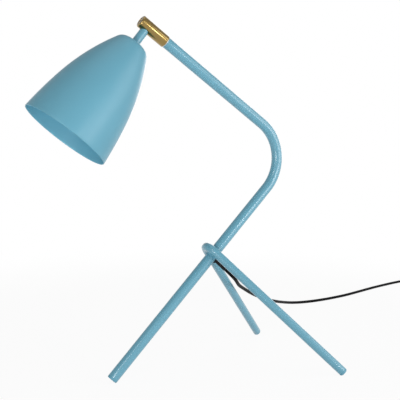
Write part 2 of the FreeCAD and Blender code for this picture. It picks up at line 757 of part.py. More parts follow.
def beside_switch(distance):
    """A point of the cord's line through the switch, measured from the switch's middle."""
    return SWITCH_AT + heading(SWITCH_HEADING) * distance + V(0, 0, SWITCH_SPLIT)


def make_cord_stretch():
    half = SWITCH_LENGTH / 2
    entry = [beside_switch(-half - SWITCH_LEAD), beside_switch(SWITCH_GRIP - half)]
    points = [EXIT, EXIT + OUT_OF_THE_TUBE * NOSE_LEAD] + CORD_ROUTE + entry
    wire, length = rounded_route(points, "cord stretch")
    return swept(wire, CORD_R, "cord stretch", length)


def in_switch(shape):
    """x runs along the switch, z is up from the surface, and y is across."""
    return placed(shape, SWITCH_AT, V(0, 0, 1), heading(SWITCH_HEADING))


def switch_outline(inset=0.0):
    """Long rounded body that tapers a little to its two cord entries."""
    half, wide, end = SWITCH_LENGTH / 2 - inset, SWITCH_WIDTH / 2 - inset, SWITCH_WIDTH / 3 - inset
    tip = 10.0
    corners = [
        V(-half, -end, 0),
        V(-half + tip, -wide, 0),
        V(half - tip, -wide, 0),
        V(half, -end, 0),
        V(half, end, 0),
        V(half - tip, wide, 0),
        V(-half + tip, wide, 0),
        V(-half, end, 0),
    ]
    return Part.Face(Part.makePolygon(corners + corners[:1]))


def switch_body():
    body = switch_outline().extrude(V(0, 0, SWITCH_HEIGHT))
    upright = [e for e in body.Edges if abs(e.tangentAt(e.FirstParameter).z) > 0.9]
    body = body.makeFillet(SWITCH_ROUND, upright)
    rims = [e for e in body.Edges if abs(e.CenterOfMass.z - SWITCH_HEIGHT) < 0.01]
    feet = [e for e in body.Edges if abs(e.CenterOfMass.z) < 0.01]
    return body.makeFillet(2.5, rims).makeChamfer(1.0, feet)


def rocker_pocket():
    length = ROCKER_LENGTH + 2 * ROCKER_GAP
    width = ROCKER_WIDTH + 2 * ROCKER_GAP
    low = SWITCH_HEIGHT - ROCKER_DEPTH - 1.5
    return Part.makeBox(length, width, SWITCH_HEIGHT, V(-length / 2, -width / 2, low))


def rocker_pivot(r, reach):
    """The pin across the switch that the rocker tilts on, reaching out past the rocker's sides."""
    length = ROCKER_WIDTH + 2 * reach
    return Part.makeCylinder(r, length, V(0, -length / 2, SWITCH_HEIGHT - ROCKER_DEPTH / 2), V(0, 1, 0))


def switch_screws():
    return [(side * SWITCH_SCREW_AT, 0) for side in (-1, 1)]


def switch_cord_entries():
    """The two blind channels that grip the cord's ends."""
    half = SWITCH_LENGTH / 2
    starts = [V(-half, 0, SWITCH_SPLIT), V(half - SWITCH_GRIP, 0, SWITCH_SPLIT)]
    return Part.makeCompound([Part.makeCylinder(CORD_R, SWITCH_GRIP, start, V(1, 0, 0)) for start in starts])


def below_split():
    return Part.makeBox(2 * SWITCH_LENGTH, 2 * SWITCH_LENGTH, SWITCH_SPLIT, V(-SWITCH_LENGTH, -SWITCH_LENGTH, 0))


def make_switch_base():
    base = switch_body().common(below_split()).cut(switch_cord_entries())
    for x, y in switch_screws():
        base = base.cut(Part.makeCylinder(SWITCH_SCREW_R, 1.4, V(x, y, 0)))
    return in_switch(base)


def make_switch_cover():
    cover = switch_body().cut(below_split()).cut(switch_cord_entries()).cut(rocker_pocket())
    return in_switch(cover.cut(rocker_pivot(PIVOT_R + RUNNING_GAP, PIVOT_REACH + FREE_GAP)))


def make_switch_screws():
    heads = []
    for x, y in switch_screws():
        head = Part.makeCylinder(SWITCH_SCREW_R, 1.1, V(x, y, 0.3))
        slot = Part.makeBox(2 * SWITCH_SCREW_R, 0.8, 0.6, V(x - SWITCH_SCREW_R, y - 0.4, 0.3))
        heads.append(head.cut(slot))
    return in_switch(Part.makeCompound(heads))


def make_switch_rocker():
    """Rocker with a dished top, pressed down at one end in its rest position."""
    low, top = SWITCH_HEIGHT - ROCKER_DEPTH, SWITCH_HEIGHT + ROCKER_RISE
    half = ROCKER_LENGTH / 2
    middle = SWITCH_HEIGHT + ROCKER_RISE / 3
    outline = [
        Part.makeLine(V(-half + 2, 0, low), V(half - 2, 0, low)),
        Part.makeLine(V(half - 2, 0, low), V(half, 0, SWITCH_HEIGHT)),
        Part.makeLine(V(half, 0, SWITCH_HEIGHT), V(half - 0.6, 0, top)),
        Part.Arc(V(half - 0.6, 0, top), V(0, 0, middle), V(-half + 0.6, 0, top)).toShape(),
        Part.makeLine(V(-half + 0.6, 0, top), V(-half, 0, SWITCH_HEIGHT)),
        Part.makeLine(V(-half, 0, SWITCH_HEIGHT), V(-half + 2, 0, low)),
    ]
    face = Part.Face(Part.Wire(outline))
    rocker = face.extrude(V(0, ROCKER_WIDTH, 0))
    rocker.translate(V(0, -ROCKER_WIDTH / 2, 0))
    rocker = rocker.fuse(rocker_pivot(PIVOT_R, PIVOT_REACH))
    rocker.rotate(V(0, 0, SWITCH_HEIGHT - ROCKER_DEPTH / 2), V(0, 1, 0), ROCKER_TILT)
    return in_switch(rocker)


# ---- Coil ----
COIL_INNER_R = COIL_OUTER_R - COIL_PITCH * COIL_TURNS_A_LAYER


def coil_point(turn):
    """Centre line of the coil after this many clockwise turns: in along the lower layer, out on the upper."""
    half_climb = 0.25
    layer_turns = COIL_TURNS_A_LAYER
    if turn <= layer_turns:
        r = COIL_OUTER_R - COIL_PITCH * turn
    else:
        r = COIL_INNER_R + COIL_PITCH * (turn - layer_turns)
    climb = min(1.0, max(0.0, (turn - layer_turns + half_climb) / (2 * half_climb)))
    z = CORD_R + COIL_LAYER_STEP * climb
    a = -2 * math.pi * turn
    return V(COIL_X + r * math.cos(a), COIL_Y + r * math.sin(a), z)


def coil_nodes():
    """Quarter-turn points and tangents; tangents come from the points a little either side."""
    total = int(2 * COIL_TURNS_A_LAYER)
    small = 0.02
    nodes = []
    for k in range(4 * total + 1):
        turn = k / 4
        before = coil_point(max(0.0, turn - small))
        after = coil_point(min(float(total), turn + small))
        nodes.append((coil_point(turn), unit(after - before)))
    return nodes


def biarc(p, tp, q, tq):
    """Two arcs that leave p along tp and reach q along tq."""
    v = q - p
    t = tp + tq
    a = 2 * (1 - tp.dot(tq))
    b = v.dot(t)
    reach = (-b + math.sqrt(b * b + a * v.dot(v))) / a if a > 1e-9 else v.dot(v) / (2 * b)
    joint = (p + tp * reach + q - tq * reach) * 0.5
    first, tangent = tangent_arc(p, tp, joint)
    second, _ = tangent_arc(joint, tangent, q)
    return [first, second]


def coil_ends():
    """The coil's two ends as point and outward direction, a little out from its turns."""
    nodes = coil_nodes()
    (first, inward), (last, outward) = nodes[0], nodes[-1]
    return (first - inward * CORD_D, inward * -1), (last + outward * CORD_D, outward)


def coil_wire():
    nodes = coil_nodes()
    (lead, _), (tail, _) = coil_ends()
    edges = [Part.makeLine(lead, nodes[0][0])]
    for (p, tp), (q, tq) in zip(nodes, nodes[1:]):
        edges += biarc(p, tp, q, tq)
    edges.append(Part.makeLine(nodes[-1][0], tail))
    return Part.Wire(edges)


def least_self_gap(wire, skip):
    """Least distance between points of the wire further apart along it than skip, less one diameter."""
    step = 3.0
    points = wire.discretize(Number=int(wire.Length / step))
    apart = int(skip / step)
    least = min(p.distanceToPoint(q) for i, p in enumerate(points) for q in points[i + apart :])
    return least - CORD_D


def make_cord_coil():
    wire = coil_wire()
    print("coil length %.1f" % wire.Length, "least gap %.2f" % least_self_gap(wire, 60))
    return swept(wire, CORD_R, "coil", wire.Length)


def make_cord_lead_in():
    """From the switch down to the coil."""
    (end, outward), _ = coil_ends()
    half = SWITCH_LENGTH / 2
    exit_run = [beside_switch(half - SWITCH_GRIP), beside_switch(half + SWITCH_LEAD)]
    points = exit_run + LEAD_IN + [end + outward * COIL_LEAD, end]
    wire, length = rounded_route(points, "lead in")
    return swept(wire, CORD_R, "lead in", length)


# ---- Plug ----
def make_cord_tail():
    _, (end, outward) = coil_ends()
    plug_run = [PLUG_AT - heading(PLUG_HEADING) * PLUG_LEAD, PLUG_AT]
    points = [end, end + outward * COIL_LEAD] + TAIL_ROUTE + plug_run
    wire, length = rounded_route(points, "cord tail")
    return swept(wire, CORD_R, "cord tail", length)


def in_plug(shape):
    """x runs out of the plug's pins, with zero where its strain relief starts."""
    return placed(shape, PLUG_AT, V(0, 0, 1), heading(PLUG_HEADING))


def make_plug_relief():
    relief = Part.makeCone(PLUG_RELIEF_TIP_R, PLUG_RELIEF_BASE_R, PLUG_RELIEF_LENGTH, V(0, 0, 0), V(1, 0, 0))
    for k in range(5):
        at = 3 + 4 * k
        wide = PLUG_RELIEF_TIP_R + (PLUG_RELIEF_BASE_R - PLUG_RELIEF_TIP_R) * at / PLUG_RELIEF_LENGTH
        groove = Part.makeCylinder(wide + 1, 1.4, V(at, 0, 0), V(1, 0, 0))
        core = Part.makeCylinder(wide - 0.6, 1.4, V(at, 0, 0), V(1, 0, 0))
        relief = relief.cut(groove.cut(core))
    return in_plug(relief)


def make_plug_body():
    """Flat two-pin body, wide at its pins and narrow at its cord."""
    x0, x1 = PLUG_RELIEF_LENGTH, PLUG_RELIEF_LENGTH + PLUG_BODY_LENGTH
    tail, wide = PLUG_TAIL_WIDTH / 2, PLUG_WIDTH / 2
    corners = [
        V(x0, -tail, 0),
        V(x1 - PLUG_SHOULDER, -wide, 0),
        V(x1, -wide, 0),
        V(x1, wide, 0),
        V(x1 - PLUG_SHOULDER, wide, 0),
        V(x0, tail, 0),
    ]
    body = Part.Face(Part.makePolygon(corners + corners[:1])).extrude(V(0, 0, PLUG_THICK))
    body.translate(V(0, 0, -PLUG_AT.z))
    return in_plug(body.makeFillet(PLUG_CORNER, body.Edges))


def make_plug_pins():
    pins = []
    root = PLUG_RELIEF_LENGTH + PLUG_BODY_LENGTH
    for side in (-1, 1):
        foot = V(root, side * PIN_SPACING / 2, PLUG_THICK / 2 - PLUG_AT.z)
        pin = Part.makeCylinder(PIN_R, PIN_LENGTH, foot, V(1, 0, 0))
        tip = [e for e in pin.Edges if abs(e.CenterOfMass.x - foot.x - PIN_LENGTH) < 0.01]
        pins.append(pin.makeFillet(PIN_R * 0.6, tip))
    return in_plug(Part.makeCompound(pins))


# ---- Build ----
rear_legs = make_rear_legs()
save(make_main_tube(), "main_tube")
save(rear_legs, "rear_legs")
save(make_loop_welds(swept(legs_path(), LEG_R, "welds")), "loop_welds")
save(make_foot_plug(FOOT_FRONT, UP_THE_TUBE * -1, TUBE_R, TUBE_BORE_R), "front_foot_plug")
for side, name in ((-1, "left_foot_plug"), (1, "right_foot_plug")):
    foot = LOOP_CENTRE + leg_start(side) + leg_direction(side) * LEG_RUN
    save(make_foot_plug(foot, leg_direction(side), LEG_R, LEG_BORE_R), name)

save(make_spindle(), "swivel_spindle")
save(make_spindle_washer(), "spindle_washer")
save(make_swivel_bush(), "swivel_bush")
save(make_brass_sleeve(), "brass_sleeve")
save(make_stop_screw(), "stop_screw")
save(make_end_cap(), "sleeve_end_cap")
save(make_neck_tube(), "neck_tube")
save(make_neck_nipple(), "neck_nipple")

save(make_shade(), "shade")
save(make_lock_washer(), "lock_washer")
save(make_lock_nut(), "lock_nut")
save(make_holder_cap(), "holder_cap")
save(make_holder_skirt(), "holder_skirt")
save(make_holder_core(), "holder_core")
save(make_terminal_screws(), "terminal_screws")
save(make_socket_shell(), "socket_shell")
save(make_centre_contact(), "centre_contact")
save(make_head_wires(), "head_wires")

save(make_inner_cord(), "inner_cord")
save(make_grommet(), "cord_grommet")
save(make_cord_lead(), "cord_lead")
save(make_cord_stretch(), "cord_stretch")
save(make_switch_base(), "switch_base")
save(make_switch_cover(), "switch_cover")
save(make_switch_screws(), "switch_screws")
save(make_switch_rocker(), "switch_rocker")
save(make_cord_lead_in(), "cord_lead_in")
save(make_cord_coil(), "cord_coil")
save(make_cord_tail(), "cord_tail")
save(make_plug_relief(), "plug_relief")
save(make_plug_body(), "plug_body")
save(make_plug_pins(), "plug_pins")
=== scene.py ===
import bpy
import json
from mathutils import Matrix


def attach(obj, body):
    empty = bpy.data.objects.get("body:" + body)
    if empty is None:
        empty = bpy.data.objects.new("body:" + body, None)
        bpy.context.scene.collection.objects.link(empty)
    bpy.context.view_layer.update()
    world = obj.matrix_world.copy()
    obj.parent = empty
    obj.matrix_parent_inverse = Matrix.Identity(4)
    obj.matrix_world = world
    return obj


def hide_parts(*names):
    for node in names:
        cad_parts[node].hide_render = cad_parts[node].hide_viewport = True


bl_info = {
    "name": "Tripod Table Lamp",
    "version": (1, 0, 0),
    "blender": (4, 5, 0),
    "location": "View3D > Sidebar > Lamp",
    "description": "Dresses a packed tripod table lamp: surfaces, cord, finishes and studio",
    "category": "Add Mesh",
}

import json
import math

import bmesh
import bpy
import numpy as np
from bpy.props import FloatProperty, FloatVectorProperty, IntProperty, PointerProperty
from mathutils import Matrix, Vector

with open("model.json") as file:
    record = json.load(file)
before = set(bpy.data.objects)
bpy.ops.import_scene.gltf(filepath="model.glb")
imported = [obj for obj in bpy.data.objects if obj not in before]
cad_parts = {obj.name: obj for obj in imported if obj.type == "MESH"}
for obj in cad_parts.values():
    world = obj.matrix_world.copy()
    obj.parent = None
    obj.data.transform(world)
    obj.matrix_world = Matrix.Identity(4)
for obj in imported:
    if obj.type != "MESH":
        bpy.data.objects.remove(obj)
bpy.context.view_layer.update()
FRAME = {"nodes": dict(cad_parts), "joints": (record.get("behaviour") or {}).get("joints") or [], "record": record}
NODES = FRAME["nodes"]
RECORD = FRAME["record"]
JOINTS = {joint["name"]: joint for joint in FRAME["joints"]}
MOUNTS = {mount["name"]: mount for mount in RECORD["mounts"]}


# ---------------------------------------------------------------- sizes and colours


class LampSizes(bpy.types.PropertyGroup):
    """Sizes of the lamp's surfaces, as its maker would change them."""

    tube_diameter: FloatProperty(
        name="Main tube", description="Outside diameter of the bent tube",
        default=0.016, unit="LENGTH",
    )
    tube_wall: FloatProperty(
        name="Tube wall", description="Wall of both tubes",
        default=0.0015, unit="LENGTH",
    )
    lower_slope: FloatProperty(
        name="Lower slope", description="Rise of the lower tube",
        default=math.radians(46.2), subtype="ANGLE",
    )
    lower_run: FloatProperty(
        name="Lower run", description="From the front foot to the bend's corner",
        default=0.4408, unit="LENGTH",
    )
    arm_run: FloatProperty(
        name="Arm run", description="From the bend's corner to the arm's end",
        default=0.271, unit="LENGTH",
    )
    bend_radius: FloatProperty(
        name="Bend radius", description="Centre line radius of the bend",
        default=0.065, unit="LENGTH",
    )
    leg_diameter: FloatProperty(
        name="Hairpin tube", description="Outside diameter of the hairpin",
        default=0.013, unit="LENGTH",
    )
    loop_at: FloatProperty(
        name="Loop at", description="From the front foot to the hairpin's loop",
        default=0.2313, unit="LENGTH",
    )
    loop_gap: FloatProperty(
        name="Loop gap", description="Between the main tube and the hairpin's loop",
        default=0.0001, unit="LENGTH",
    )
    leg_slope: FloatProperty(
        name="Leg slope", description="Fall of the hairpin's plane",
        default=math.radians(47.6), subtype="ANGLE",
    )
    leg_spread: FloatProperty(
        name="Leg spread", description="Half the angle between the legs",
        default=math.radians(24.25), subtype="ANGLE",
    )
    rear_foot_height: FloatProperty(
        name="Rear end height", description="Leg's end above the floor",
        default=0.0061, unit="LENGTH",
    )
    sleeve_diameter: FloatProperty(
        name="Sleeve", description="Outside diameter of the brass sleeve",
        default=0.0182, unit="LENGTH",
    )
    sleeve_start: FloatProperty(
        name="Sleeve start", description="From the arm's end to the sleeve",
        default=0.00115, unit="LENGTH",
    )
    sleeve_end: FloatProperty(
        name="Sleeve end", description="From the arm's end to the sleeve's far end",
        default=0.047, unit="LENGTH",
    )
    sleeve_round: FloatProperty(
        name="Sleeve rounding", description="Radius of the sleeve's outer end rim",
        default=0.0026, unit="LENGTH",
    )
    cap_diameter: FloatProperty(
        name="Cap recess", description="Recess that holds the end cap",
        default=0.0112, unit="LENGTH",
    )
    shade_wall: FloatProperty(
        name="Shade wall", description="Sheet of the shade",
        default=0.001, unit="LENGTH",
    )
    crown_at: FloatProperty(
        name="Crown", description="From the arm's axis to the shade's crown",
        default=0.0314, unit="LENGTH",
    )
    mouth_at: FloatProperty(
        name="Mouth", description="From the arm's axis to the shade's mouth",
        default=0.1899, unit="LENGTH",
    )
    mouth_radius: FloatProperty(
        name="Mouth radius", description="Outside radius of the mouth",
        default=0.064, unit="LENGTH",
    )
    neck_bore: FloatProperty(
        name="Crown hole", description="Radius of the hole in the crown",
        default=0.00505, unit="LENGTH",
    )
    cord_diameter: FloatProperty(
        name="Cord", description="Outside diameter of the cord",
        default=0.0056, unit="LENGTH",
    )
    cord_length: FloatProperty(
        name="Cord length", description="Free length from the grommet to the plug",
        default=1.77, unit="LENGTH",
    )
    round_steps: IntProperty(
        name="Round steps", description="Faces round a turned or drawn piece",
        default=96, min=24,
    )


class LampColours(bpy.types.PropertyGroup):
    """Colours of the lamp's finishes, as linear values."""

    paint: FloatVectorProperty(
        name="Paint", description="Satin paint of the stand and the shade",
        default=(0.14, 0.39, 0.51), subtype="COLOR", size=3, min=0, max=1,
    )
    # The shade's inside colour is paler than its outside: painted light, standing in for light that the lamps
    # don't bring into the shade.
    inside: FloatVectorProperty(
        name="Shade inside", description="Paler paint of the shade's inside",
        default=(0.19, 0.53, 0.69), subtype="COLOR", size=3, min=0, max=1,
    )
    brass: FloatVectorProperty(
        name="Brass", description="Polished brass of the swivel",
        default=(0.29, 0.19, 0.042), subtype="COLOR", size=3, min=0, max=1,
    )
    steel: FloatVectorProperty(
        name="Steel", description="Zinc plated fixings",
        default=(0.58, 0.59, 0.60), subtype="COLOR", size=3, min=0, max=1,
    )
    sheath: FloatVectorProperty(
        name="Cord sheath", description="The cord's dull black sheath",
        default=(0.003, 0.003, 0.0035), subtype="COLOR", size=3, min=0, max=1,
    )
    black: FloatVectorProperty(
        name="Black", description="Switch, plug, grommet and lampholder",
        default=(0.008, 0.008, 0.009), subtype="COLOR", size=3, min=0, max=1,
    )
    foot: FloatVectorProperty(
        name="Feet", description="Moulded foot plugs",
        default=(0.135, 0.37, 0.49), subtype="COLOR", size=3, min=0, max=1,
    )
    porcelain: FloatVectorProperty(
        name="Core", description="Insulating core of the lampholder",
        default=(0.72, 0.69, 0.62), subtype="COLOR", size=3, min=0, max=1,
    )
    floor: FloatVectorProperty(
        name="Floor", description="Studio floor",
        default=(0.92, 0.92, 0.92), subtype="COLOR", size=3, min=0, max=1,
    )


def sizes():
    return bpy.context.scene.lamp_sizes


def colours():
    return bpy.context.scene.lamp_colours


# ---------------------------------------------------------------- directions and places


def slope(angle, towards_x):
    """Unit vector in the plane y = 0 that rises by angle towards +X or -X."""
    return np.array([towards_x * math.cos(angle), 0.0, math.sin(angle)])


LEVEL = np.array([0.0, 1.0, 0.0])
ARM_END = np.array(JOINTS["head_swivel"]["pos_m"])
UP_THE_ARM = np.array(JOINTS["head_swivel"]["axis"])
DOWN_THE_NECK = np.array(MOUNTS["bulb_socket"]["axis"])


def neck_root():
    """Where the neck's axis crosses the arm's, worked out in x and z: the arm has no y in it."""
    away = np.array(MOUNTS["bulb_socket"]["pos_m"]) - ARM_END
    cross = UP_THE_ARM[0] * DOWN_THE_NECK[2] - UP_THE_ARM[2] * DOWN_THE_NECK[0]
    along = (away[0] * DOWN_THE_NECK[2] - away[2] * DOWN_THE_NECK[0]) / cross
    return ARM_END + UP_THE_ARM * along


def up_the_tube():
    return slope(sizes().lower_slope, 1)


def bend_corner():
    return ARM_END - UP_THE_ARM * sizes().arm_run


def front_foot():
    return bend_corner() - up_the_tube() * sizes().lower_run


def loop_centre():
    return front_foot() + up_the_tube() * sizes().loop_at


def down_the_legs():
    return -slope(sizes().leg_slope, -1)


def out_of_the_tube():
    """Square to the main tube and down between the legs, where the cord leaves it."""
    up = up_the_tube()
    return np.array([up[2], 0.0, -up[0]])


# ---------------------------------------------------------------- surfaces

# Below these distances points are one point and faces are none; above this angle an edge is sharp.
SAME_POINT = 1e-7
NO_LENGTH = 1e-8
SHARP_EDGE = math.radians(40)
# An arc that turns less than this is a straight line.
STRAIGHT = 1e-6
# How much of a tube's wall each of its end edges takes to round, and in how many steps.
ROUNDED_SHARE = 0.25
ROUNDED_STEPS = 4


def unit(v):
    return v / np.linalg.norm(v)


def across_of(axis):
    """Two unit vectors square to axis, the first of them square to level too."""
    first = unit(np.cross(LEVEL, axis))
    return first, np.cross(axis, first)


def arc_between(start, tangent, end, count):
    """Points of the arc that leaves start along tangent and reaches end.

    The chord and the tangent enclose half the arc's turn, so the radius is the chord
    over twice the sine of that angle, and each point is start plus the partial chord
    turned by half of its share of the turn.
    """
    chord = end - start
    length = np.linalg.norm(chord)
    along = chord / length
    side = tangent - along * (tangent @ along)
    angle = math.atan2(np.linalg.norm(side), tangent @ along)
    share = np.linspace(0.0, 1.0, count)[:, None]
    if angle < STRAIGHT:
        return start + chord * share, along
    side = unit(side)
    radius = length / (2 * math.sin(angle))
    reach = 2 * radius * np.sin(angle * share)
    lean = angle * (1 - share)
    points = start + along * reach * np.cos(lean) + side * reach * np.sin(lean)
    return points, unit(2 * along * (unit(tangent) @ along) - unit(tangent))


def grid_piece(name, rings):
    """A closed mesh from a grid of points, rings by steps, that closes on itself both ways.

    Quad (i, j) joins point j and j + 1 of ring i to the same two points of ring i + 1.
    """
    count, steps = rings.shape[:2]
    i, j = np.meshgrid(np.arange(count), np.arange(steps), indexing="ij")
    this, after = i * steps, (i + 1) % count * steps
    after_j = (j + 1) % steps
    corners = np.stack([this + j, this + after_j, after + after_j, after + j], -1)
    mesh = bpy.data.meshes.new(name)
    mesh.vertices.add(count * steps)
    mesh.vertices.foreach_set("co", rings.reshape(-1).astype(np.float32))
    faces = corners.reshape(-1, 4)
    mesh.loops.add(faces.size)
    mesh.loops.foreach_set("vertex_index", faces.reshape(-1))
    mesh.polygons.add(len(faces))
    mesh.polygons.foreach_set("loop_start", np.arange(0, faces.size, 4))
    mesh.update(calc_edges=True)
    mesh.validate()
    return finished(name, mesh)


def finished(name, mesh):
    """Links the mesh as a piece with outward faces, smooth but for its sharp edges."""
    shape = bmesh.new()
    shape.from_mesh(mesh)
    bmesh.ops.remove_doubles(shape, verts=shape.verts, dist=SAME_POINT)
    bmesh.ops.dissolve_degenerate(shape, edges=shape.edges, dist=NO_LENGTH)
    bmesh.ops.recalc_face_normals(shape, faces=shape.faces)
    for face in shape.faces:
        face.smooth = True
    for edge in shape.edges:
        edge.smooth = len(edge.link_faces) == 2 and edge.calc_face_angle(0.0) < SHARP_EDGE
    shape.to_mesh(mesh)
    shape.free()
    piece = bpy.data.objects.new(name, mesh)
    bpy.context.scene.collection.objects.link(piece)
    return piece


def spokes_round(first, second, steps):
    """Unit vectors round a circle in the plane of first and second: cos a first + sin a second."""
    angles = np.linspace(0.0, 2 * math.pi, steps, endpoint=False)
    return np.cos(angles)[:, None] * first + np.sin(angles)[:, None] * second


def turned(name, origin, axis, profile, steps):
    """A surface of revolution of a closed profile: its point (r, z) at angle a goes to
    origin + z axis + r (cos a first + sin a second)."""
    spokes = spokes_round(*across_of(axis), steps)
    rings = origin + profile[:, None, 1:2] * axis + profile[:, None, 0:1] * spokes[None]
    return grid_piece(name, rings)


def drawn_tube(name, path, normal, outer, inner):
    """A tube with a wall along a plane path: rings of the outer radius up the path and
    of the inner radius back down it, with ends rounded by a few rings between."""
    steps = sizes().round_steps // 2
    tangent = np.gradient(path, axis=0)
    tangent /= np.linalg.norm(tangent, axis=1)[:, None]
    side = np.cross(tangent, normal)

    def ring(index, radius, shift=0.0):
        spokes = spokes_round(normal, side[index], steps)
        return path[index] + tangent[index] * shift + spokes * radius

    edge = (outer - inner) * ROUNDED_SHARE
    turns = np.linspace(0.0, math.pi / 2, ROUNDED_STEPS)
    eased = list(zip(edge * (1 - np.cos(turns)), edge * (1 - np.sin(turns))))
    rings = [ring(k, outer) for k in range(1, len(path) - 1)]
    rings += [ring(-1, outer - across, -along) for across, along in eased]
    rings += [ring(-1, inner + across, -along) for along, across in eased]
    rings += [ring(k, inner) for k in range(len(path) - 2, 0, -1)]
    rings += [ring(0, inner + across, along) for across, along in eased]
    rings += [ring(0, outer - across, along) for along, across in eased]
    return grid_piece(name, np.array(rings))


def straight(start, end, count):
    """Evenly spaced points from start to end."""
    return start + (end - start) * np.linspace(0.0, 1.0, count)[:, None]


def joined(*stretches):
    """Stretches of a path end to end, the point where two of them meet kept once."""
    return np.vstack([stretches[0]] + [stretch[1:] for stretch in stretches[1:]])


# ---------------------------------------------------------------- finishes

# Noise keeps mostly to this part of its range, so this part is what gets spread.
NOISE_SWING = (0.3, 0.7)
BUMP_DEPTH = 0.0001
ROUGHNESS_DRIFT = 0.1
NYLON = (0.78, 0.76, 0.70)
CONTACT_BRASS = (0.72, 0.55, 0.28)
NICKEL = (0.70, 0.67, 0.60)
WIRE_BLUE = (0.05, 0.09, 0.35)
RINGS_A_METRE = 1500.0
RING_ROUGHNESS = (0.185, 0.215)


def socket(tree, name, kind, default=None, low=None, high=None, out=False):
    """A new socket of a node group, with its default and limits if it has any."""
    way = "OUTPUT" if out else "INPUT"
    made = tree.interface.new_socket(name=name, in_out=way, socket_type=kind)
    if default is not None:
        made.default_value = default
    if low is not None:
        made.min_value = low
    if high is not None:
        made.max_value = high
    return made


def map_range(tree, value, reach, share):
    """A Map Range of value, from share[0] at reach[0] to share[1] at reach[1]."""
    node = tree.nodes.new("ShaderNodeMapRange")
    for key, number in zip(("From Min", "From Max", "To Min", "To Max"), (*reach, *share)):
        node.inputs[key].default_value = number
    tree.links.new(value, node.inputs["Value"])
    return node


def drift_group():
    """A colour that drifts a little over the surface, with a fine grain.

    Inputs are the colour, how far it drifts, and the scales of the drift and the grain;
    outputs are the drifted colour, the drift's mask and the grain's height, from 0 to 1.
    """
    tree = bpy.data.node_groups.get("Surface Drift")
    if tree:
        return tree
    tree = bpy.data.node_groups.new("Surface Drift", "ShaderNodeTree")
    socket(tree, "Vector", "NodeSocketVector")
    socket(tree, "Colour", "NodeSocketColor", (0.5, 0.5, 0.5, 1.0))
    socket(tree, "Drift", "NodeSocketFloat", 0.04, 0.0, 1.0)
    socket(tree, "Scale", "NodeSocketFloat", 20.0, 0.0, 5000.0)
    socket(tree, "Grain Scale", "NodeSocketFloat", 900.0, 0.0, 9000.0)
    socket(tree, "Colour", "NodeSocketColor", out=True)
    socket(tree, "Mask", "NodeSocketFloat", out=True)
    socket(tree, "Grain", "NodeSocketFloat", out=True)
    put, take = tree.nodes.new("NodeGroupOutput"), tree.nodes.new("NodeGroupInput")
    broad = tree.nodes.new("ShaderNodeTexNoise")
    broad.inputs["Detail"].default_value = 4.0
    fine = tree.nodes.new("ShaderNodeTexNoise")
    fine.inputs["Detail"].default_value = 2.0
    swing = map_range(tree, broad.outputs["Fac"], NOISE_SWING, (-1.0, 1.0))
    share = tree.nodes.new("ShaderNodeMath")
    share.operation = "MULTIPLY_ADD"
    share.inputs[2].default_value = 1.0
    tint = tree.nodes.new("ShaderNodeHueSaturation")
    links = tree.links
    links.new(take.outputs["Vector"], broad.inputs["Vector"])
    links.new(take.outputs["Scale"], broad.inputs["Scale"])
    links.new(take.outputs["Vector"], fine.inputs["Vector"])
    links.new(take.outputs["Grain Scale"], fine.inputs["Scale"])
    links.new(swing.outputs["Result"], share.inputs[0])
    links.new(take.outputs["Drift"], share.inputs[1])
    links.new(share.outputs["Value"], tint.inputs["Value"])
    links.new(take.outputs["Colour"], tint.inputs["Color"])
    links.new(tint.outputs["Color"], put.inputs["Colour"])
    links.new(broad.outputs["Fac"], put.inputs["Mask"])
    links.new(fine.outputs["Fac"], put.inputs["Grain"])
    return tree


def turning_marks_group():
    """Fine rings round a turned piece: bands along the X of the incoming vector, their
    edges broken by noise. It puts out their mask, from 0 to 1."""
    tree = bpy.data.node_groups.get("Turning Marks")
    if tree:
        return tree
    tree = bpy.data.node_groups.new("Turning Marks", "ShaderNodeTree")
    socket(tree, "Vector", "NodeSocketVector")
    socket(tree, "Rings a Metre", "NodeSocketFloat", 900.0, 0.0, 20000.0)
    socket(tree, "Unevenness", "NodeSocketFloat", 2.0, 0.0, 50.0)
    socket(tree, "Mask", "NodeSocketFloat", out=True)
    put, take = tree.nodes.new("NodeGroupOutput"), tree.nodes.new("NodeGroupInput")
    wave = tree.nodes.new("ShaderNodeTexWave")
    wave.wave_type = "BANDS"
    wave.bands_direction = "X"
    wave.wave_profile = "SIN"
    wave.inputs["Detail"].default_value = 3.0
    wave.inputs["Detail Scale"].default_value = 2.0
    tree.links.new(take.outputs["Vector"], wave.inputs["Vector"])
    tree.links.new(take.outputs["Rings a Metre"], wave.inputs["Scale"])
    tree.links.new(take.outputs["Unevenness"], wave.inputs["Distortion"])
    tree.links.new(wave.outputs["Fac"], put.inputs["Mask"])
    return tree


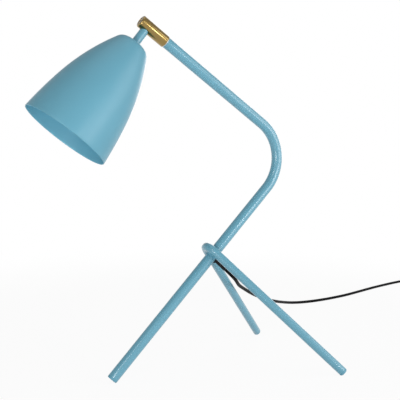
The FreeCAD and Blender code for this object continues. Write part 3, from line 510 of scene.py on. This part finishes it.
def surface(name, colour, roughness, drift=0.03, scale=18.0, grain=900.0, bump=0.05, **fixed):
    """A finish that drifts in tone and roughness, with a fine bump; fixed sets shader sockets."""
    material = bpy.data.materials.get(name)
    if material:
        return material
    material = bpy.data.materials.new(name)
    material.use_nodes = True
    tree = material.node_tree
    shader = tree.nodes["Principled BSDF"]
    place = tree.nodes.new("ShaderNodeTexCoord")
    drifted = tree.nodes.new("ShaderNodeGroup")
    drifted.node_tree = drift_group()
    drifted.inputs["Colour"].default_value = (*colour, 1.0)
    drifted.inputs["Drift"].default_value = drift
    drifted.inputs["Scale"].default_value = scale
    drifted.inputs["Grain Scale"].default_value = grain
    relief = tree.nodes.new("ShaderNodeBump")
    relief.inputs["Strength"].default_value = bump
    relief.inputs["Distance"].default_value = BUMP_DEPTH
    around = (roughness * (1 - ROUGHNESS_DRIFT), roughness * (1 + ROUGHNESS_DRIFT))
    rough = map_range(tree, drifted.outputs["Mask"], NOISE_SWING, around)
    tree.links.new(place.outputs["Object"], drifted.inputs["Vector"])
    tree.links.new(drifted.outputs["Colour"], shader.inputs["Base Color"])
    tree.links.new(rough.outputs["Result"], shader.inputs["Roughness"])
    tree.links.new(drifted.outputs["Grain"], relief.inputs["Height"])
    tree.links.new(relief.outputs["Normal"], shader.inputs["Normal"])
    for key, value in fixed.items():
        shader.inputs[key.replace("_", " ")].default_value = value
    material.diffuse_color = (*colour, 1.0)
    return material


def paint_finish():
    """Satin powder paint: even colour, very soft orange peel, mild gloss."""
    return surface(
        "Satin Blue Paint", colours().paint, 0.33,
        drift=0.012, scale=9.0, grain=160.0, bump=0.003,
        Specular_IOR_Level=0.4, Coat_Weight=0.6, Coat_Roughness=0.13,
    )


def shade_finish():
    """The shade's paint, the same but for its own batch."""
    return surface(
        "Satin Blue Shade Paint", colours().paint, 0.36,
        drift=0.012, scale=7.0, grain=160.0, bump=0.01,
        Specular_IOR_Level=0.4,
    )


def painted_light_inside_finish():
    """The shade's inside, a little paler than its outside: painted light that brightens the inside beyond what the
    lamps give it.
    """
    return surface(
        "Satin Blue Inside Painted Light", colours().inside, 0.4,
        drift=0.012, scale=7.0, grain=160.0, bump=0.01,
        Specular_IOR_Level=0.4,
    )


def brass_finish():
    """Polished brass with fine turning rings along the arm."""
    material = bpy.data.materials.get("Polished Brass")
    if material:
        return material
    material = surface(
        "Polished Brass", colours().brass, 0.2,
        drift=0.14, scale=60.0, grain=2500.0, bump=0.02,
        Metallic=1.0, Coat_Weight=1.0, Coat_Roughness=0.12,
    )
    tree = material.node_tree
    shader = tree.nodes["Principled BSDF"]
    place = tree.nodes["Texture Coordinate"]
    turn = tree.nodes.new("ShaderNodeMapping")
    turn.inputs["Rotation"].default_value[1] = math.atan2(UP_THE_ARM[2], UP_THE_ARM[0])
    rings = tree.nodes.new("ShaderNodeGroup")
    rings.node_tree = turning_marks_group()
    rings.inputs["Rings a Metre"].default_value = RINGS_A_METRE
    rough = map_range(tree, rings.outputs["Mask"], NOISE_SWING, RING_ROUGHNESS)
    tree.links.new(place.outputs["Object"], turn.inputs["Vector"])
    tree.links.new(turn.outputs["Vector"], rings.inputs["Vector"])
    tree.links.new(rough.outputs["Result"], shader.inputs["Roughness"])
    return material


def steel_finish():
    return surface(
        "Zinc Plated Steel", colours().steel, 0.34,
        drift=0.08, scale=120.0, bump=0.06, Metallic=1.0,
    )


def cord_finish():
    return surface(
        "Black Cord Sheath", colours().sheath, 0.55,
        drift=0.1, scale=60.0, grain=1600.0, bump=0.12, Specular_IOR_Level=0.06,
    )


def rubber_finish():
    return surface(
        "Black Rubber", colours().black, 0.62,
        drift=0.12, scale=90.0, grain=2200.0, bump=0.2, Specular_IOR_Level=0.15,
    )


def moulded_finish():
    return surface(
        "Black Moulding", colours().black, 0.48,
        drift=0.1, scale=70.0, grain=3200.0, bump=0.35,
    )


def gloss_finish():
    return surface(
        "Black Phenolic", colours().black, 0.22,
        drift=0.1, scale=40.0, grain=700.0, bump=0.05,
    )


def foot_finish():
    return surface(
        "Blue Foot Moulding", colours().foot, 0.55,
        drift=0.05, scale=80.0, grain=2600.0, bump=0.2,
    )


def nylon_finish():
    return surface("Natural Nylon", NYLON, 0.35, scale=90.0)


def porcelain_finish():
    return surface(
        "Insulating Core", colours().porcelain, 0.5,
        drift=0.06, scale=110.0, grain=2600.0, bump=0.15,
    )


def contact_finish():
    return surface(
        "Plated Contact Brass", CONTACT_BRASS, 0.28,
        drift=0.07, scale=140.0, Metallic=1.0,
    )


def pin_finish():
    return surface(
        "Nickel Plated Pins", NICKEL, 0.2,
        drift=0.04, scale=140.0, Metallic=1.0,
    )


def wire_finish():
    return surface("Core Wire Sheath", WIRE_BLUE, 0.4, drift=0.06, scale=120.0)


def weld_finish():
    return surface(
        "Painted Weld", colours().paint, 0.42,
        drift=0.03, scale=60.0, grain=700.0, bump=0.3,
    )


def wear(piece, finish):
    """Gives a piece one finish in all of its slots."""
    piece.data.materials.clear()
    piece.data.materials.append(finish)


# A carried-over node's points weld within this distance, and its edges split above this angle.
WELD_DISTANCE = 1e-6
SPLIT_ANGLE = math.radians(35)


def dress_node(node, finish):
    """Welds a carried-over node's triangles for shading and gives it its finish."""
    piece = NODES[node]
    wear(piece, finish)
    for face in piece.data.polygons:
        face.use_smooth = True
    weld = piece.modifiers.new("Weld", "WELD")
    weld.merge_threshold = WELD_DISTANCE
    split = piece.modifiers.new("Sharp Edges", "EDGE_SPLIT")
    split.split_angle = SPLIT_ANGLE


def placed_piece(piece, body, slot, finish, *nodes):
    """Rides a new piece on its body, in place of its nodes, with its finish. The slot is not used."""
    wear(piece, finish)
    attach(piece, body)
    if nodes:
        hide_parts(*nodes)


# ---------------------------------------------------------------- the pieces

# Points along the stretches of the tube and the hairpin.
LOWER_STEPS = 24
BEND_STEPS = 60
ARM_STEPS = 16
LEG_STEPS = 20
LOOP_STEPS = 61

# How the sleeve's near edge rounds, and in how many steps both its edges do.
SLEEVE_EDGE = 0.0006
SLEEVE_EDGE_STEPS = 9
# The sleeve's inside: the cap's recess, down from the far end, then radii, and places up from
# the arm's end.
RECESS_EDGE = 0.0003
RECESS_DEPTH = 0.0046
WIRE_ROOM_RADIUS = 0.0040
WIRE_ROOM_START = 0.025
JOURNAL_BORE_RADIUS = 0.00525
BUSH_END = 0.010
BUSH_RADIUS = 0.0066

# The shade's outline by radius and depth below the crown, and the points along each of its arcs.
CROWN_RADIUS = 0.0145
SHOULDER = (0.0249, 0.0063)
BELLY = (0.0564, 0.0986)
SHADE_ARC_STEPS = (12, 40, 24)
SHADE_RIM_STEPS = 7
SHADE_ROUND_STEPS = 160
# A face is the crown's inside or the bell's inside where its normal leans this far down or inwards.
LEANS_DOWN = 0.5
LEANS_IN = 0.3


class LAMP_OT_stand(bpy.types.Operator):
    """Draws the bent main tube and the hairpin that makes it a tripod"""

    bl_idname = "lamp.stand"
    bl_label = "Stand"

    def execute(self, context):
        size = sizes()
        radius = size.tube_diameter / 2
        corner = bend_corner()
        up = up_the_tube()
        half = math.acos(np.clip(up @ -UP_THE_ARM, -1, 1)) / 2
        reach = size.bend_radius / math.tan(half)
        bend, _ = arc_between(corner - up * reach, up, corner + UP_THE_ARM * reach, BEND_STEPS)
        lower = straight(front_foot(), bend[0], LOWER_STEPS)
        arm = straight(bend[-1], ARM_END, ARM_STEPS)
        path = joined(lower, bend, arm)
        tube = drawn_tube("bent_tube", path, LEVEL, radius, radius - size.tube_wall)
        placed_piece(tube, "stand", "stand_paint", paint_finish(), "main_tube")

        leg = size.leg_diameter / 2
        loop = radius + size.loop_gap + leg
        down = down_the_legs()
        quarter = math.pi / 2 - size.leg_spread
        angles = np.linspace(-quarter, quarter, LOOP_STEPS)[:, None]
        crest = loop_centre() + loop * (np.sin(angles) * LEVEL - np.cos(angles) * down)
        ends = []
        for side, start in ((-1, crest[0]), (1, crest[-1])):
            away = down * math.cos(size.leg_spread) + LEVEL * side * math.sin(size.leg_spread)
            run = (start[2] - size.rear_foot_height) / -away[2]
            ends.append(start + away * run)
        left = straight(ends[0], crest[0], LEG_STEPS)
        right = straight(crest[-1], ends[1], LEG_STEPS)
        path = joined(left, crest, right)
        normal = unit(np.cross(down, LEVEL))
        hairpin = drawn_tube("hairpin_legs", path, normal, leg, leg - size.tube_wall)
        placed_piece(hairpin, "stand", "stand_paint", paint_finish(), "rear_legs")
        return {"FINISHED"}


class LAMP_OT_sleeve(bpy.types.Operator):
    """Turns the brass sleeve of the swivel"""

    bl_idname = "lamp.sleeve"
    bl_label = "Brass Sleeve"

    def execute(self, context):
        size = sizes()
        radius, start, end = size.sleeve_diameter / 2, size.sleeve_start, size.sleeve_end
        cap = size.cap_diameter / 2
        edge, rim = SLEEVE_EDGE, size.sleeve_round
        turns = np.linspace(0.0, math.pi / 2, SLEEVE_EDGE_STEPS)
        near_edge = [radius - edge * (1 - np.sin(turns)), start + edge * (1 - np.cos(turns))]
        far_edge = [radius - rim * (1 - np.cos(turns)), end - rim * (1 - np.sin(turns))]
        inside = [
            (cap + RECESS_EDGE, end),
            (cap, end - RECESS_EDGE),
            (cap, end - RECESS_DEPTH),
            (WIRE_ROOM_RADIUS, end - RECESS_DEPTH),
            (WIRE_ROOM_RADIUS, WIRE_ROOM_START),
            (JOURNAL_BORE_RADIUS, WIRE_ROOM_START),
            (JOURNAL_BORE_RADIUS, BUSH_END),
            (BUSH_RADIUS, BUSH_END),
            (BUSH_RADIUS, start),
            (radius - edge, start),
        ]
        profile = np.vstack([np.stack(near_edge, 1), np.stack(far_edge, 1), inside])
        sleeve = turned("turned_sleeve", ARM_END, UP_THE_ARM, profile, size.round_steps)
        placed_piece(sleeve, "head", "polished_brass", brass_finish(), "brass_sleeve")
        return {"FINISHED"}


class LAMP_OT_shade(bpy.types.Operator):
    """Spins the bell shade with its flat crown and plain rounded rim"""

    bl_idname = "lamp.shade"
    bl_label = "Shade"

    def execute(self, context):
        size = sizes()
        crown, wall = size.crown_at, size.shade_wall
        points = np.array(
            [
                [CROWN_RADIUS, crown],
                [SHOULDER[0], crown + SHOULDER[1]],
                [BELLY[0], crown + BELLY[1]],
                [size.mouth_radius, size.mouth_at],
            ]
        )
        outer, inner = [], []
        tangent = np.array([1.0, 0.0])
        for start, end, count in zip(points, points[1:], SHADE_ARC_STEPS):
            stretch, after = arc_between(start, tangent, end, count)
            ways = np.gradient(stretch, axis=0)
            ways /= np.linalg.norm(ways, axis=1)[:, None]
            ways[0], ways[-1] = tangent, after
            outer.append(stretch)
            inner.append(stretch + np.stack([-ways[:, 1], ways[:, 0]], 1) * wall)
            tangent = after
        outer, inner = joined(*outer), joined(*inner)
        middle = (outer[-1] + inner[-1]) / 2
        turns = np.linspace(0.0, math.pi, SHADE_RIM_STEPS)[1:-1, None]
        rim = middle + (outer[-1] - middle) * np.cos(turns) + tangent * wall / 2 * np.sin(turns)
        hole = [[size.neck_bore, crown + wall], [size.neck_bore, crown]]
        profile = np.vstack([outer, rim, inner[::-1], hole])
        shade = turned("bell_shade", neck_root(), DOWN_THE_NECK, profile, SHADE_ROUND_STEPS)
        placed_piece(shade, "head", "shade_paint", shade_finish(), "shade")
        # The shade's inside gets the paler paint: painted light.
        shade.data.materials.append(painted_light_inside_finish())
        self.paint_inside_with_painted_light(shade.data, size.mouth_at)
        return {"FINISHED"}

    def paint_inside_with_painted_light(self, mesh, mouth_at):
        """Puts the second finish, the paler inside paint that is painted light, on the faces that look inwards, or
        down from the crown.
        """
        count = len(mesh.polygons)
        centres, normals = np.empty(count * 3), np.empty(count * 3)
        mesh.polygons.foreach_get("center", centres)
        mesh.polygons.foreach_get("normal", normals)
        centres, normals = centres.reshape(-1, 3) - neck_root(), normals.reshape(-1, 3)
        down = centres @ DOWN_THE_NECK
        radials = centres - down[:, None] * DOWN_THE_NECK
        radials /= np.linalg.norm(radials, axis=1)[:, None]
        crown = (normals @ DOWN_THE_NECK > LEANS_DOWN) & (down < mouth_at / 2)
        bell = np.sum(normals * radials, axis=1) < -LEANS_IN
        mesh.polygons.foreach_set("material_index", (crown | bell).astype(np.int32))


# ---------------------------------------------------------------- cord

# The cord's free route, in metres, as in the part's source.
CORD_ROUTE = [
    (0.0990, 0.0060, 0.1308),
    (0.1115, 0.0200, 0.1210),
    (0.1280, 0.0425, 0.1108),
    (0.1530, 0.0685, 0.0978),
    (0.1870, 0.0995, 0.0802),
    (0.2260, 0.1350, 0.0624),
    (0.2710, 0.1740, 0.0440),
    (0.3150, 0.2105, 0.0282),
    (0.3540, 0.2405, 0.0160),
    (0.3830, 0.2600, 0.0081),
    (0.4110, 0.2680, 0.0039),
    (0.4430, 0.2695, 0.0028),
    (0.4790, 0.2720, 0.0028),
    (0.5120, 0.2775, 0.0028),
    (0.5445, 0.2840, 0.0028),
    (0.5920, 0.2985, 0.0028),
    (0.6505, 0.3175, 0.0028),
    (0.7070, 0.3320, 0.0028),
    (0.7400, 0.3395, 0.0028),
    (0.7635, 0.3435, 0.0028),
    (0.7822, 0.3380, 0.0034),
    (0.7966, 0.3241, 0.0054),
]
# The hole's place down the tube from the loop, the grommet's tip out from the tube's axis, and
# the cord's straight lead from it.
EXIT_DROP = 0.0035
NOSE_TIP = 0.032
NOSE_LEAD = 0.014
# The cord goes through the switch's middle, with points these distances before and after it.
SWITCH_AT = (0.794, 0.255, 0.0086)
SWITCH_HEADING = math.radians(-100.0)
SWITCH_STEPS = (-0.051, -0.023, 0.023, 0.051)
LEAD_IN = [(0.7820, 0.1690, 0.0042), (0.7810, 0.1370, 0.0028)]
# The coil: a layer on the floor, wound inwards, and a layer on it, wound out again.
COIL_CENTRE = (0.743, 0.103)
COIL_OUTER = 0.037
COIL_PITCH = 0.0069
COIL_TURNS_A_LAYER = 1.5
COIL_LAYER_STEP = 0.0068
COIL_CLIMB_TURNS = 0.5
COIL_LEAD = 0.014
# How far in from its end the coil's direction is taken, in turns.
COIL_END_TURN = 0.01
POINTS_A_TURN = 20
TAIL_ROUTE = [(0.7800, 0.0630, 0.0060), (0.7775, 0.0430, 0.0028)]
PLUG_AT = (0.771, 0.013, 0.00685)
PLUG_HEADING = math.radians(-103.0)
PLUG_LEAD = 0.014


def heading(angle):
    """Unit vector along the floor, at this angle from +X."""
    return np.array([math.cos(angle), math.sin(angle), 0.0])


def cord_exit():
    """The tip of the grommet's nose."""
    return loop_centre() - up_the_tube() * EXIT_DROP + out_of_the_tube() * NOSE_TIP


def coil_points(turn, diameter):
    """Points of the coil after these many turns: in along the lower layer and out on the upper one.

    The radius falls by the pitch each turn to the middle and rises again after it, the
    height climbs one layer over the half turn in the middle, and the angle runs clockwise
    as seen from above.
    """
    inner = COIL_OUTER - COIL_PITCH * COIL_TURNS_A_LAYER
    radius = inner + COIL_PITCH * np.abs(turn - COIL_TURNS_A_LAYER)
    climb = np.clip((turn - COIL_TURNS_A_LAYER) / COIL_CLIMB_TURNS + 0.5, 0.0, 1.0)
    angle = -2 * math.pi * turn
    x = COIL_CENTRE[0] + radius * np.cos(angle)
    y = COIL_CENTRE[1] + radius * np.sin(angle)
    return np.stack([x, y, diameter / 2 + COIL_LAYER_STEP * climb], 1)


def coil_ends(diameter):
    """The coil's two ends, each a point a diameter out from its turns and one a lead further."""
    last = 2 * COIL_TURNS_A_LAYER
    ends = []
    for turn, inwards in ((0.0, COIL_END_TURN), (last, -COIL_END_TURN)):
        point, next_in = coil_points(np.array([turn, turn + inwards]), diameter)
        outward = unit(point - next_in)
        near = point + outward * diameter
        ends.append((near, near + outward * COIL_LEAD))
    return ends


def cord_points(diameter):
    """The whole free cord: the lead from the nose, the route, the switch, the coil and the tail."""
    start = cord_exit()
    lead = start + out_of_the_tube() * NOSE_LEAD
    through = [np.array(SWITCH_AT) + heading(SWITCH_HEADING) * step for step in SWITCH_STEPS]
    turns = 2 * COIL_TURNS_A_LAYER
    coil = coil_points(np.linspace(0.0, turns, int(turns * POINTS_A_TURN) + 1), diameter)
    (before, far_before), (after, far_after) = coil_ends(diameter)
    plug = np.array(PLUG_AT)
    into_plug = [plug - heading(PLUG_HEADING) * PLUG_LEAD, plug]
    wound = [far_before, before, *coil, after, far_after]
    return np.vstack([start, lead, CORD_ROUTE, through, LEAD_IN, wound, TAIL_ROUTE, into_plug])


class LAMP_OT_cord(bpy.types.Operator):
    """Lays the free cord from the grommet through the switch and the coil to the plug"""

    bl_idname = "lamp.cord"
    bl_label = "Cord"

    def execute(self, context):
        size = sizes()
        points = cord_points(size.cord_diameter)
        curve = bpy.data.curves.new("mains_cord", "CURVE")
        curve.dimensions = "3D"
        curve.bevel_depth = size.cord_diameter / 2
        curve.bevel_resolution = 5
        curve.resolution_u = 8
        curve.use_fill_caps = True
        line = curve.splines.new("NURBS")
        line.points.add(len(points) - 1)
        line.points.foreach_set("co", np.hstack([points, np.ones((len(points), 1))]).reshape(-1))
        line.order_u = 3
        line.use_endpoint_u = True
        cord = bpy.data.objects.new("mains_cord", curve)
        context.scene.collection.objects.link(cord)
        placed_piece(
            cord, "stand", "cord_plastic", cord_finish(),
            "cord_stretch", "cord_lead_in", "cord_coil", "cord_tail",
        )
        return {"FINISHED"}


class LAMP_OT_finishes(bpy.types.Operator):
    """Gives every carried-over node its finish"""

    bl_idname = "lamp.finishes"
    bl_label = "Finishes"

    def execute(self, context):
        finishes = {
            paint_finish: ["main_tube", "rear_legs", "neck_tube"],
            shade_finish: ["shade"],
            brass_finish: ["brass_sleeve", "sleeve_end_cap"],
            weld_finish: ["loop_welds"],
            foot_finish: ["front_foot_plug", "left_foot_plug", "right_foot_plug"],
            steel_finish: [
                "swivel_spindle", "spindle_washer", "stop_screw",
                "neck_nipple", "lock_washer", "lock_nut", "switch_screws",
            ],
            nylon_finish: ["swivel_bush"],
            gloss_finish: ["holder_cap", "holder_skirt", "switch_rocker"],
            porcelain_finish: ["holder_core"],
            contact_finish: ["terminal_screws", "socket_shell", "centre_contact"],
            wire_finish: ["head_wires"],
            cord_finish: [
                "inner_cord", "cord_lead", "cord_stretch", "cord_lead_in", "cord_coil", "cord_tail",
            ],
            rubber_finish: ["cord_grommet", "plug_relief"],
            moulded_finish: ["switch_base", "switch_cover", "plug_body"],
            pin_finish: ["plug_pins"],
        }
        for finish, nodes in finishes.items():
            for node in nodes:
                dress_node(node, finish())
        return {"FINISHED"}


# ---------------------------------------------------------------- camera, lights and floor

CAMERA_AT = (-0.43681, -0.90479, 0.34941)
CAMERA_YAW = math.radians(26.8897)
CAMERA_PITCH = math.radians(6.4691)
CAMERA_ROLL = math.radians(-0.27306)
CAMERA_LENS = 62.7297
CAMERA_SENSOR = 36.0
CAMERA_SHIFT = (0.018586, 0.037020)
CAMERA_NEAREST = 0.01

WHITE = (1.0, 1.0, 1.0, 1.0)
# Name, place, target, side of the square and watts.
LAMPS = [
    ("key", (-1.55, -1.5, 1.3), (0.0, 0.0, 0.28), 0.38, 5.4),
    ("glint", (0.58, -1.9, 0.5), (0.0, 0.0, 0.4), 0.26, 3.6),
    ("fill", (2.0, -1.3, 0.9), (0.0, 0.0, 0.25), 1.6, 16.0),
    ("low", (-0.72, -0.8, 0.2), (-0.16, 0.0, 0.36), 0.3, 3.3),
    ("side", (0.8, -1.1, 0.25), (0.05, 0.0, 0.2), 0.4, 2.6),
    ("top", (0.1, -0.1, 2.2), (0.0, 0.0, 0.2), 1.6, 4.0),
    ("back", (1.9, 1.7, 1.1), (0.0, 0.0, 0.25), 1.8, 12.0),
]
WORLD = 0.25
FLOOR_AT = (0.0, 2.0, 0.0)
FLOOR_SIZE = 14.0
FLOOR_STEPS = 8
# How white the floor shows to the eye by the lamp and away from it, between which distances, and
# the point from which they run, in the floor's own coordinates.
FLOOR_WHITE = (0.93, 1.0)
FLOOR_REACH = (0.45, 1.1)
FLOOR_MIDDLE = (0.1, -1.95, 0.0)
# How bright gloss sees the world by the horizon and overhead, and between which heights.
SKY_WHITE = (1.0, 0.35)
SKY_REACH = (0.15, 0.45)


def smooth_range(tree, value, reach, share):
    """A map range that eases in and out."""
    node = map_range(tree, value, reach, share)
    node.interpolation_type = "SMOOTHSTEP"
    return node.outputs["Result"]


def maths(tree, operation, first, second):
    """A Math node of two incoming values."""
    node = tree.nodes.new("ShaderNodeMath")
    node.operation = operation
    tree.links.new(first, node.inputs[0])
    tree.links.new(second, node.inputs[1])
    return node.outputs["Value"]


def white_to_the_eye(tree, shader, out, kind, camera=None, gloss=None):
    """Shows white to the camera, to gloss and to glass, and the shader to everything else.

    camera and gloss are sockets with the share of white each of them sees, 1 if left out.
    """
    eye = tree.nodes.new("ShaderNodeLightPath")
    straight_on, mirrored = eye.outputs["Is Camera Ray"], eye.outputs["Is Glossy Ray"]
    if camera:
        straight_on = maths(tree, "MULTIPLY", straight_on, camera)
    if gloss:
        mirrored = maths(tree, "MULTIPLY", mirrored, gloss)
    seen = maths(tree, "MAXIMUM", straight_on, mirrored)
    amount = maths(tree, "MAXIMUM", seen, eye.outputs["Is Transmission Ray"])
    white = tree.nodes.new(kind)
    white.inputs["Color"].default_value = WHITE
    white.inputs["Strength"].default_value = 1.0
    mix = tree.nodes.new("ShaderNodeMixShader")
    tree.links.new(amount, mix.inputs["Fac"])
    tree.links.new(shader, mix.inputs[1])
    tree.links.new(white.outputs[0], mix.inputs[2])
    tree.links.new(mix.outputs["Shader"], out)


class LAMP_OT_stage(bpy.types.Operator):
    """Sets the camera, the soft studio lights, the pale floor and the world"""

    bl_idname = "lamp.stage"
    bl_label = "Studio"

    def execute(self, context):
        scene = context.scene
        scene.view_settings.view_transform = "Standard"
        scene.cycles.use_light_tree = False
        self.set_camera(scene)
        for lamp in LAMPS:
            self.hang_lamp(scene, *lamp)
        self.lay_floor(context)
        self.set_world(scene)
        return {"FINISHED"}

    def set_camera(self, scene):
        """Turns the camera by yaw to the right of +Y, pitch down and roll about its own axis."""
        yaw, pitch, roll = CAMERA_YAW, CAMERA_PITCH, CAMERA_ROLL
        level_ahead = math.cos(pitch)
        ahead = Vector((math.sin(yaw) * level_ahead, math.cos(yaw) * level_ahead, -math.sin(pitch)))
        level = Vector((math.cos(yaw), -math.sin(yaw), 0.0))
        down = ahead.cross(level)
        right = math.cos(roll) * level + math.sin(roll) * down
        up = math.sin(roll) * level - math.cos(roll) * down
        lens = bpy.data.cameras.new("camera")
        lens.lens = CAMERA_LENS
        lens.sensor_width = CAMERA_SENSOR
        lens.shift_x, lens.shift_y = CAMERA_SHIFT
        lens.clip_start = CAMERA_NEAREST
        camera = bpy.data.objects.new("camera", lens)
        turn = Matrix((right, up, -ahead)).transposed().to_4x4()
        camera.matrix_world = Matrix.Translation(CAMERA_AT) @ turn
        scene.collection.objects.link(camera)
        scene.camera = camera

    def hang_lamp(self, scene, name, place, target, side, watts):
        """Hangs one square lamp that faces its target."""
        light = bpy.data.lights.new(name, "AREA")
        light.shape = "SQUARE"
        light.size = side
        light.energy = watts
        lamp = bpy.data.objects.new(name, light)
        aim = (Vector(target) - Vector(place)).to_track_quat("-Z", "Y")
        lamp.matrix_world = Matrix.Translation(place) @ aim.to_matrix().to_4x4()
        scene.collection.objects.link(lamp)

    def lay_floor(self, context):
        """Lays the pale floor, which takes shadows and shows white to the eye."""
        bpy.ops.mesh.primitive_grid_add(
            x_subdivisions=FLOOR_STEPS, y_subdivisions=FLOOR_STEPS,
            size=FLOOR_SIZE, location=FLOOR_AT,
        )
        floor = context.active_object
        floor.name = "studio_floor"
        material = bpy.data.materials.new("Studio Floor")
        material.use_nodes = True
        material.cycles.emission_sampling = "NONE"
        tree = material.node_tree
        shader = tree.nodes["Principled BSDF"]
        shader.inputs["Base Color"].default_value = (*colours().floor, 1.0)
        shader.inputs["Roughness"].default_value = 0.9
        shader.inputs["Specular IOR Level"].default_value = 0.0
        out = tree.nodes["Material Output"].inputs["Surface"]
        place = tree.nodes.new("ShaderNodeTexCoord")
        away = tree.nodes.new("ShaderNodeVectorMath")
        away.operation = "DISTANCE"
        away.inputs[1].default_value = FLOOR_MIDDLE
        tree.links.new(place.outputs["Object"], away.inputs[0])
        share = smooth_range(tree, away.outputs["Value"], FLOOR_REACH, FLOOR_WHITE)
        white_to_the_eye(tree, shader.outputs["BSDF"], out, "ShaderNodeEmission", share, share)
        floor.data.materials.append(material)

    def set_world(self, scene):
        """Sets the soft light from all sides, which shows white to the eye."""
        world = bpy.data.worlds.new("Studio")
        world.use_nodes = True
        scene.world = world
        tree = world.node_tree
        soft = tree.nodes["Background"]
        soft.inputs["Color"].default_value = WHITE
        soft.inputs["Strength"].default_value = WORLD
        out = tree.nodes["World Output"].inputs["Surface"]
        place = tree.nodes.new("ShaderNodeTexCoord")
        parts = tree.nodes.new("ShaderNodeSeparateXYZ")
        tree.links.new(place.outputs["Generated"], parts.inputs["Vector"])
        sky = smooth_range(tree, parts.outputs["Z"], SKY_REACH, SKY_WHITE)
        white_to_the_eye(tree, soft.outputs["Background"], out, "ShaderNodeBackground", gloss=sky)


class LAMP_PT_panel(bpy.types.Panel):
    """Lists the lamp's sizes, colours and pieces"""

    bl_idname = "LAMP_PT_panel"
    bl_label = "Tripod Table Lamp"
    bl_space_type = "VIEW_3D"
    bl_region_type = "UI"
    bl_category = "Lamp"

    def draw(self, context):
        layout = self.layout
        for group in (context.scene.lamp_sizes, context.scene.lamp_colours):
            box = layout.box()
            for key in group.bl_rna.properties.keys():
                if key not in ("rna_type", "name"):
                    box.prop(group, key)
        for operator in OPERATORS:
            layout.operator(operator.bl_idname)


OPERATORS = (
    LAMP_OT_stage,
    LAMP_OT_finishes,
    LAMP_OT_stand,
    LAMP_OT_sleeve,
    LAMP_OT_shade,
    LAMP_OT_cord,
)
CLASSES = (LampSizes, LampColours, *OPERATORS, LAMP_PT_panel)


def register():
    for each in CLASSES:
        bpy.utils.register_class(each)
    bpy.types.Scene.lamp_sizes = PointerProperty(type=LampSizes)
    bpy.types.Scene.lamp_colours = PointerProperty(type=LampColours)


def unregister():
    del bpy.types.Scene.lamp_colours
    del bpy.types.Scene.lamp_sizes
    for each in reversed(CLASSES):
        bpy.utils.unregister_class(each)


def main():
    register()
    for operator in OPERATORS:
        category, name = operator.bl_idname.split(".")
        getattr(getattr(bpy.ops, category), name)()
    bpy.context.view_layer.update()


if __name__ == "__main__":
    main()
